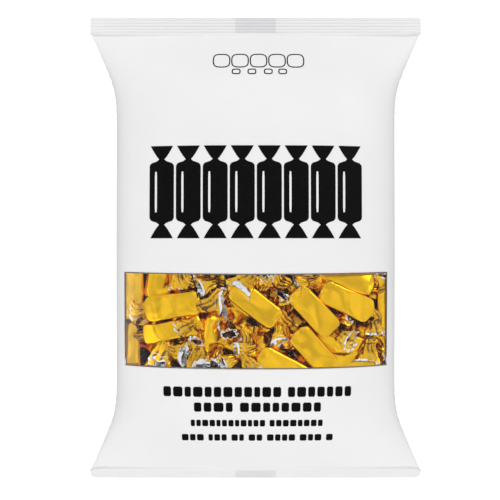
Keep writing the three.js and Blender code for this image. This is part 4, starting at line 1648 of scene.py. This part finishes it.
class SWEETBAG_OT_print(Operator):
    """Lay the print on the film: plain figures and bars, and a line round the window"""

    bl_idname = "sweet_bag.print"
    bl_label = "Print"

    def lay(self, name, shape, marks, ink, height=1.0):
        """Lays one mark for each x, y, width and height in mm."""
        mark = new_piece("mark_shape", *shape, smooth=False)
        marks = np.array(marks) * MM
        piece = new_piece(name, np.column_stack([marks[:, :2], np.zeros(len(marks))]))
        size = np.column_stack([marks[:, 2:4], np.ones(len(marks))])
        store(piece, "size", "FLOAT_VECTOR", "POINT", size)
        film = bpy.data.objects["bag_film"]
        tall = self.ink_height * height
        self.tree.apply(piece, Mark=mark, Film=film, Ink_height=tall, Ink=ink)
        bpy.data.objects.remove(mark)
        finish_piece(piece, "bag_film", "bag")

    def execute(self, context):
        settings, bag = context.scene.sweet_print, context.scene.sweet_bag
        self.ink_height = settings.ink_height
        self.tree = lay_tree()
        black = printed_ink("black_ink", settings.ink_colour)
        first, along = FIRST_FIGURE
        across = [first + FIGURE_PITCH * number for number in range(FIGURES)]
        figures = [(x, along, *FIGURE_SIZE) for x in across]
        self.lay("print_figures", plate(sweet_outline, 49, 9), figures, black)
        gleams = [(x - GLEAM_SHIFT, along, *GLEAM_SIZE) for x in across]
        white = white_film(bag.film_colour, "white_ink")
        self.lay("print_gleams", plate(block_outline, 9, 3), gleams, white, height=2.0)
        bars = []
        for seed, row in enumerate(BAR_ROWS, 1):
            bars += bars_row(*row, seed)
        self.lay("print_rows", plate(block_outline, 7, 5), bars, black)
        for name, wide, high, power, steps, along, across in BADGES:
            path = rounded_path(wide * MM, high * MM, power, steps)
            badge = [(x, along, *AS_DRAWN) for x in across]
            self.lay(name, closed_line(path, BADGE_LINE), badge, black)
        # a thin dark grey-brown line laid round the window's edge
        grey = printed_ink("outline_ink", settings.outline_colour)
        edge = settings.outline_width
        gap = 0.03 * MM
        outline = closed_line(window_path(bag, edge / 2 + gap), edge)
        self.lay("window_outline", outline, [(0, 0, *AS_DRAWN)], grey)
        return {"FINISHED"}


# ------------------------------------------------------------------ the stage


class SWEETBAG_OT_stage(Operator):
    """Set the white floor, the soft overhead light and the camera"""

    bl_idname = "sweet_bag.stage"
    bl_label = "Stage"

    # how far the floor reaches and the camera sees, in metres, and its sensor's width in mm
    FLOOR_REACH = 12
    FARTHEST_SEEN = 100
    SENSOR_WIDTH = 36

    def execute(self, context):
        studio = context.scene.sweet_studio
        scene = context.scene
        scene.view_settings.view_transform = "Standard"
        sockets = {
            "Roughness": 0.9,
            "Specular IOR Level": 0.1,
            "Emission Color": (1, 1, 1),
            "Emission Strength": studio.floor_glow,
        }
        finish = Finish("white_floor", studio.floor_colour, sockets)
        seen = finish.add("ShaderNodeLightPath", out="Is Camera Ray")
        finish.drive("Emission Strength", finish.spread(seen, 0, studio.floor_glow, 0, 1))
        corners = ((-1, -1, 0), (1, -1, 0), (1, 1, 0), (-1, 1, 0))
        corners = [[self.FLOOR_REACH * place for place in corner] for corner in corners]
        floor = new_piece("floor", corners, [(0, 1, 2, 3)], [finish.material])
        self.light(scene, studio)
        camera = bpy.data.objects.new("camera", bpy.data.cameras.new("camera"))
        context.collection.objects.link(camera)
        camera.location = (studio.camera_x, studio.camera_y, studio.camera_height)
        camera.data.sensor_width = self.SENSOR_WIDTH
        away = studio.camera_height - scene.sweet_bag.seal_height
        camera.data.lens = self.SENSOR_WIDTH * away / studio.view_width
        camera.data.clip_end = self.FARTHEST_SEEN
        scene.camera = camera
        return {"FINISHED"}

    def light(self, scene, studio):
        """A white dome for the film: bright overhead, dimmer low at both sides. What shines
        sees it uneven, with low dark gaps and a lamp on each side. The camera sees it white."""
        world = bpy.data.worlds.new("studio")
        scene.world = world
        world.use_nodes = True
        nodes = Nodes(world.node_tree)
        way = nodes.add("ShaderNodeTexCoord", out="Generated")
        x, z = (nodes.add("ShaderNodeSeparateXYZ", way, out=axis) for axis in "XZ")
        sideways = nodes.math("MULTIPLY", x, x)
        # how high the light from overhead starts, and where it is full
        horizon, overhead = 0.22, 0.6
        low = nodes.spread(sideways, studio.end_strength, studio.side_strength, 0.0, 0.6)
        rise = nodes.spread(z, 0, 1, horizon, overhead, "SMOOTHSTEP")
        dome = nodes.add("ShaderNodeMix", rise, low, studio.sky_strength)
        # what shines sees patches low down, slower than the folds overhead
        gap, patch = 0.04, 1.6
        patches = nodes.add("ShaderNodeTexNoise", way, 2.6, 1.0)
        low = nodes.spread(patches, gap, patch, 0.46, 0.6)
        low = nodes.math("MAXIMUM", low, nodes.spread(sideways, 0, studio.side_glow, 0.55, 0.75))
        folds = nodes.add("ShaderNodeTexNoise", way, 7.5, 1.0)
        high = nodes.spread(folds, *studio.sheen, 0.38, 0.62)
        shine = nodes.add("ShaderNodeMix", rise, low, high)
        # each lamp's strength beside the brighter one's, and the cosines of its soft edge
        lamps = ((studio.lamp_right, 1.0, (0.95, 0.97)), (studio.lamp_left, 0.55, (0.965, 0.98)))
        for lamp, strength, size in lamps:
            toward = Vector(lamp).normalized()
            near = nodes.add("ShaderNodeVectorMath", way, toward, operation="DOT_PRODUCT")
            glow = nodes.spread(near, 0, studio.lamp_strength * strength, *size, "SMOOTHSTEP")
            shine = nodes.math("MAXIMUM", shine, glow)
        shiny = nodes.add("ShaderNodeLightPath", out="Is Glossy Ray")
        light = nodes.add("ShaderNodeMix", shiny, dome, shine)
        seen = nodes.add("ShaderNodeLightPath", out="Is Camera Ray")
        light = nodes.add("ShaderNodeMix", seen, light, 1.0)
        background = world.node_tree.nodes["Background"]
        nodes.give(background.inputs["Strength"], light)
        nodes.give(background.inputs["Color"], (1, 1, 1))


class SWEETBAG_PT_panel(Panel):
    """The sizes and colours, and a button for each piece"""

    bl_label = "Bag of wrapped caramels"
    bl_idname = "SWEETBAG_PT_panel"
    bl_space_type = "VIEW_3D"
    bl_region_type = "UI"
    bl_category = "Sweets"

    def draw(self, context):
        for operator in OPERATORS:
            self.layout.operator(operator.bl_idname)
        for name in SETTINGS:
            box = self.layout.box()
            group = getattr(context.scene, name)
            for prop in group.bl_rna.properties:
                if prop.identifier not in ("rna_type", "name"):
                    box.prop(group, prop.identifier)


SETTINGS = {
    "sweet_bag": BagSettings,
    "sweet_sweets": SweetSettings,
    "sweet_print": PrintSettings,
    "sweet_studio": StudioSettings,
}
OPERATORS = (
    SWEETBAG_OT_stage,
    SWEETBAG_OT_film,
    SWEETBAG_OT_seam,
    SWEETBAG_OT_window,
    SWEETBAG_OT_shown_sweets,
    SWEETBAG_OT_hidden_sweets,
    SWEETBAG_OT_print,
)


def register():
    for group in SETTINGS.values():
        bpy.utils.register_class(group)
    for name, group in SETTINGS.items():
        setattr(bpy.types.Scene, name, PointerProperty(type=group))
    for operator in (*OPERATORS, SWEETBAG_PT_panel):
        bpy.utils.register_class(operator)


def unregister():
    for operator in (*OPERATORS, SWEETBAG_PT_panel):
        bpy.utils.unregister_class(operator)
    for name, group in SETTINGS.items():
        delattr(bpy.types.Scene, name)
        bpy.utils.unregister_class(group)


def main():
    register()
    for operator in OPERATORS:
        space, name = operator.bl_idname.split(".")
        getattr(getattr(bpy.ops, space), name)()


if __name__ == "__main__":
    main()
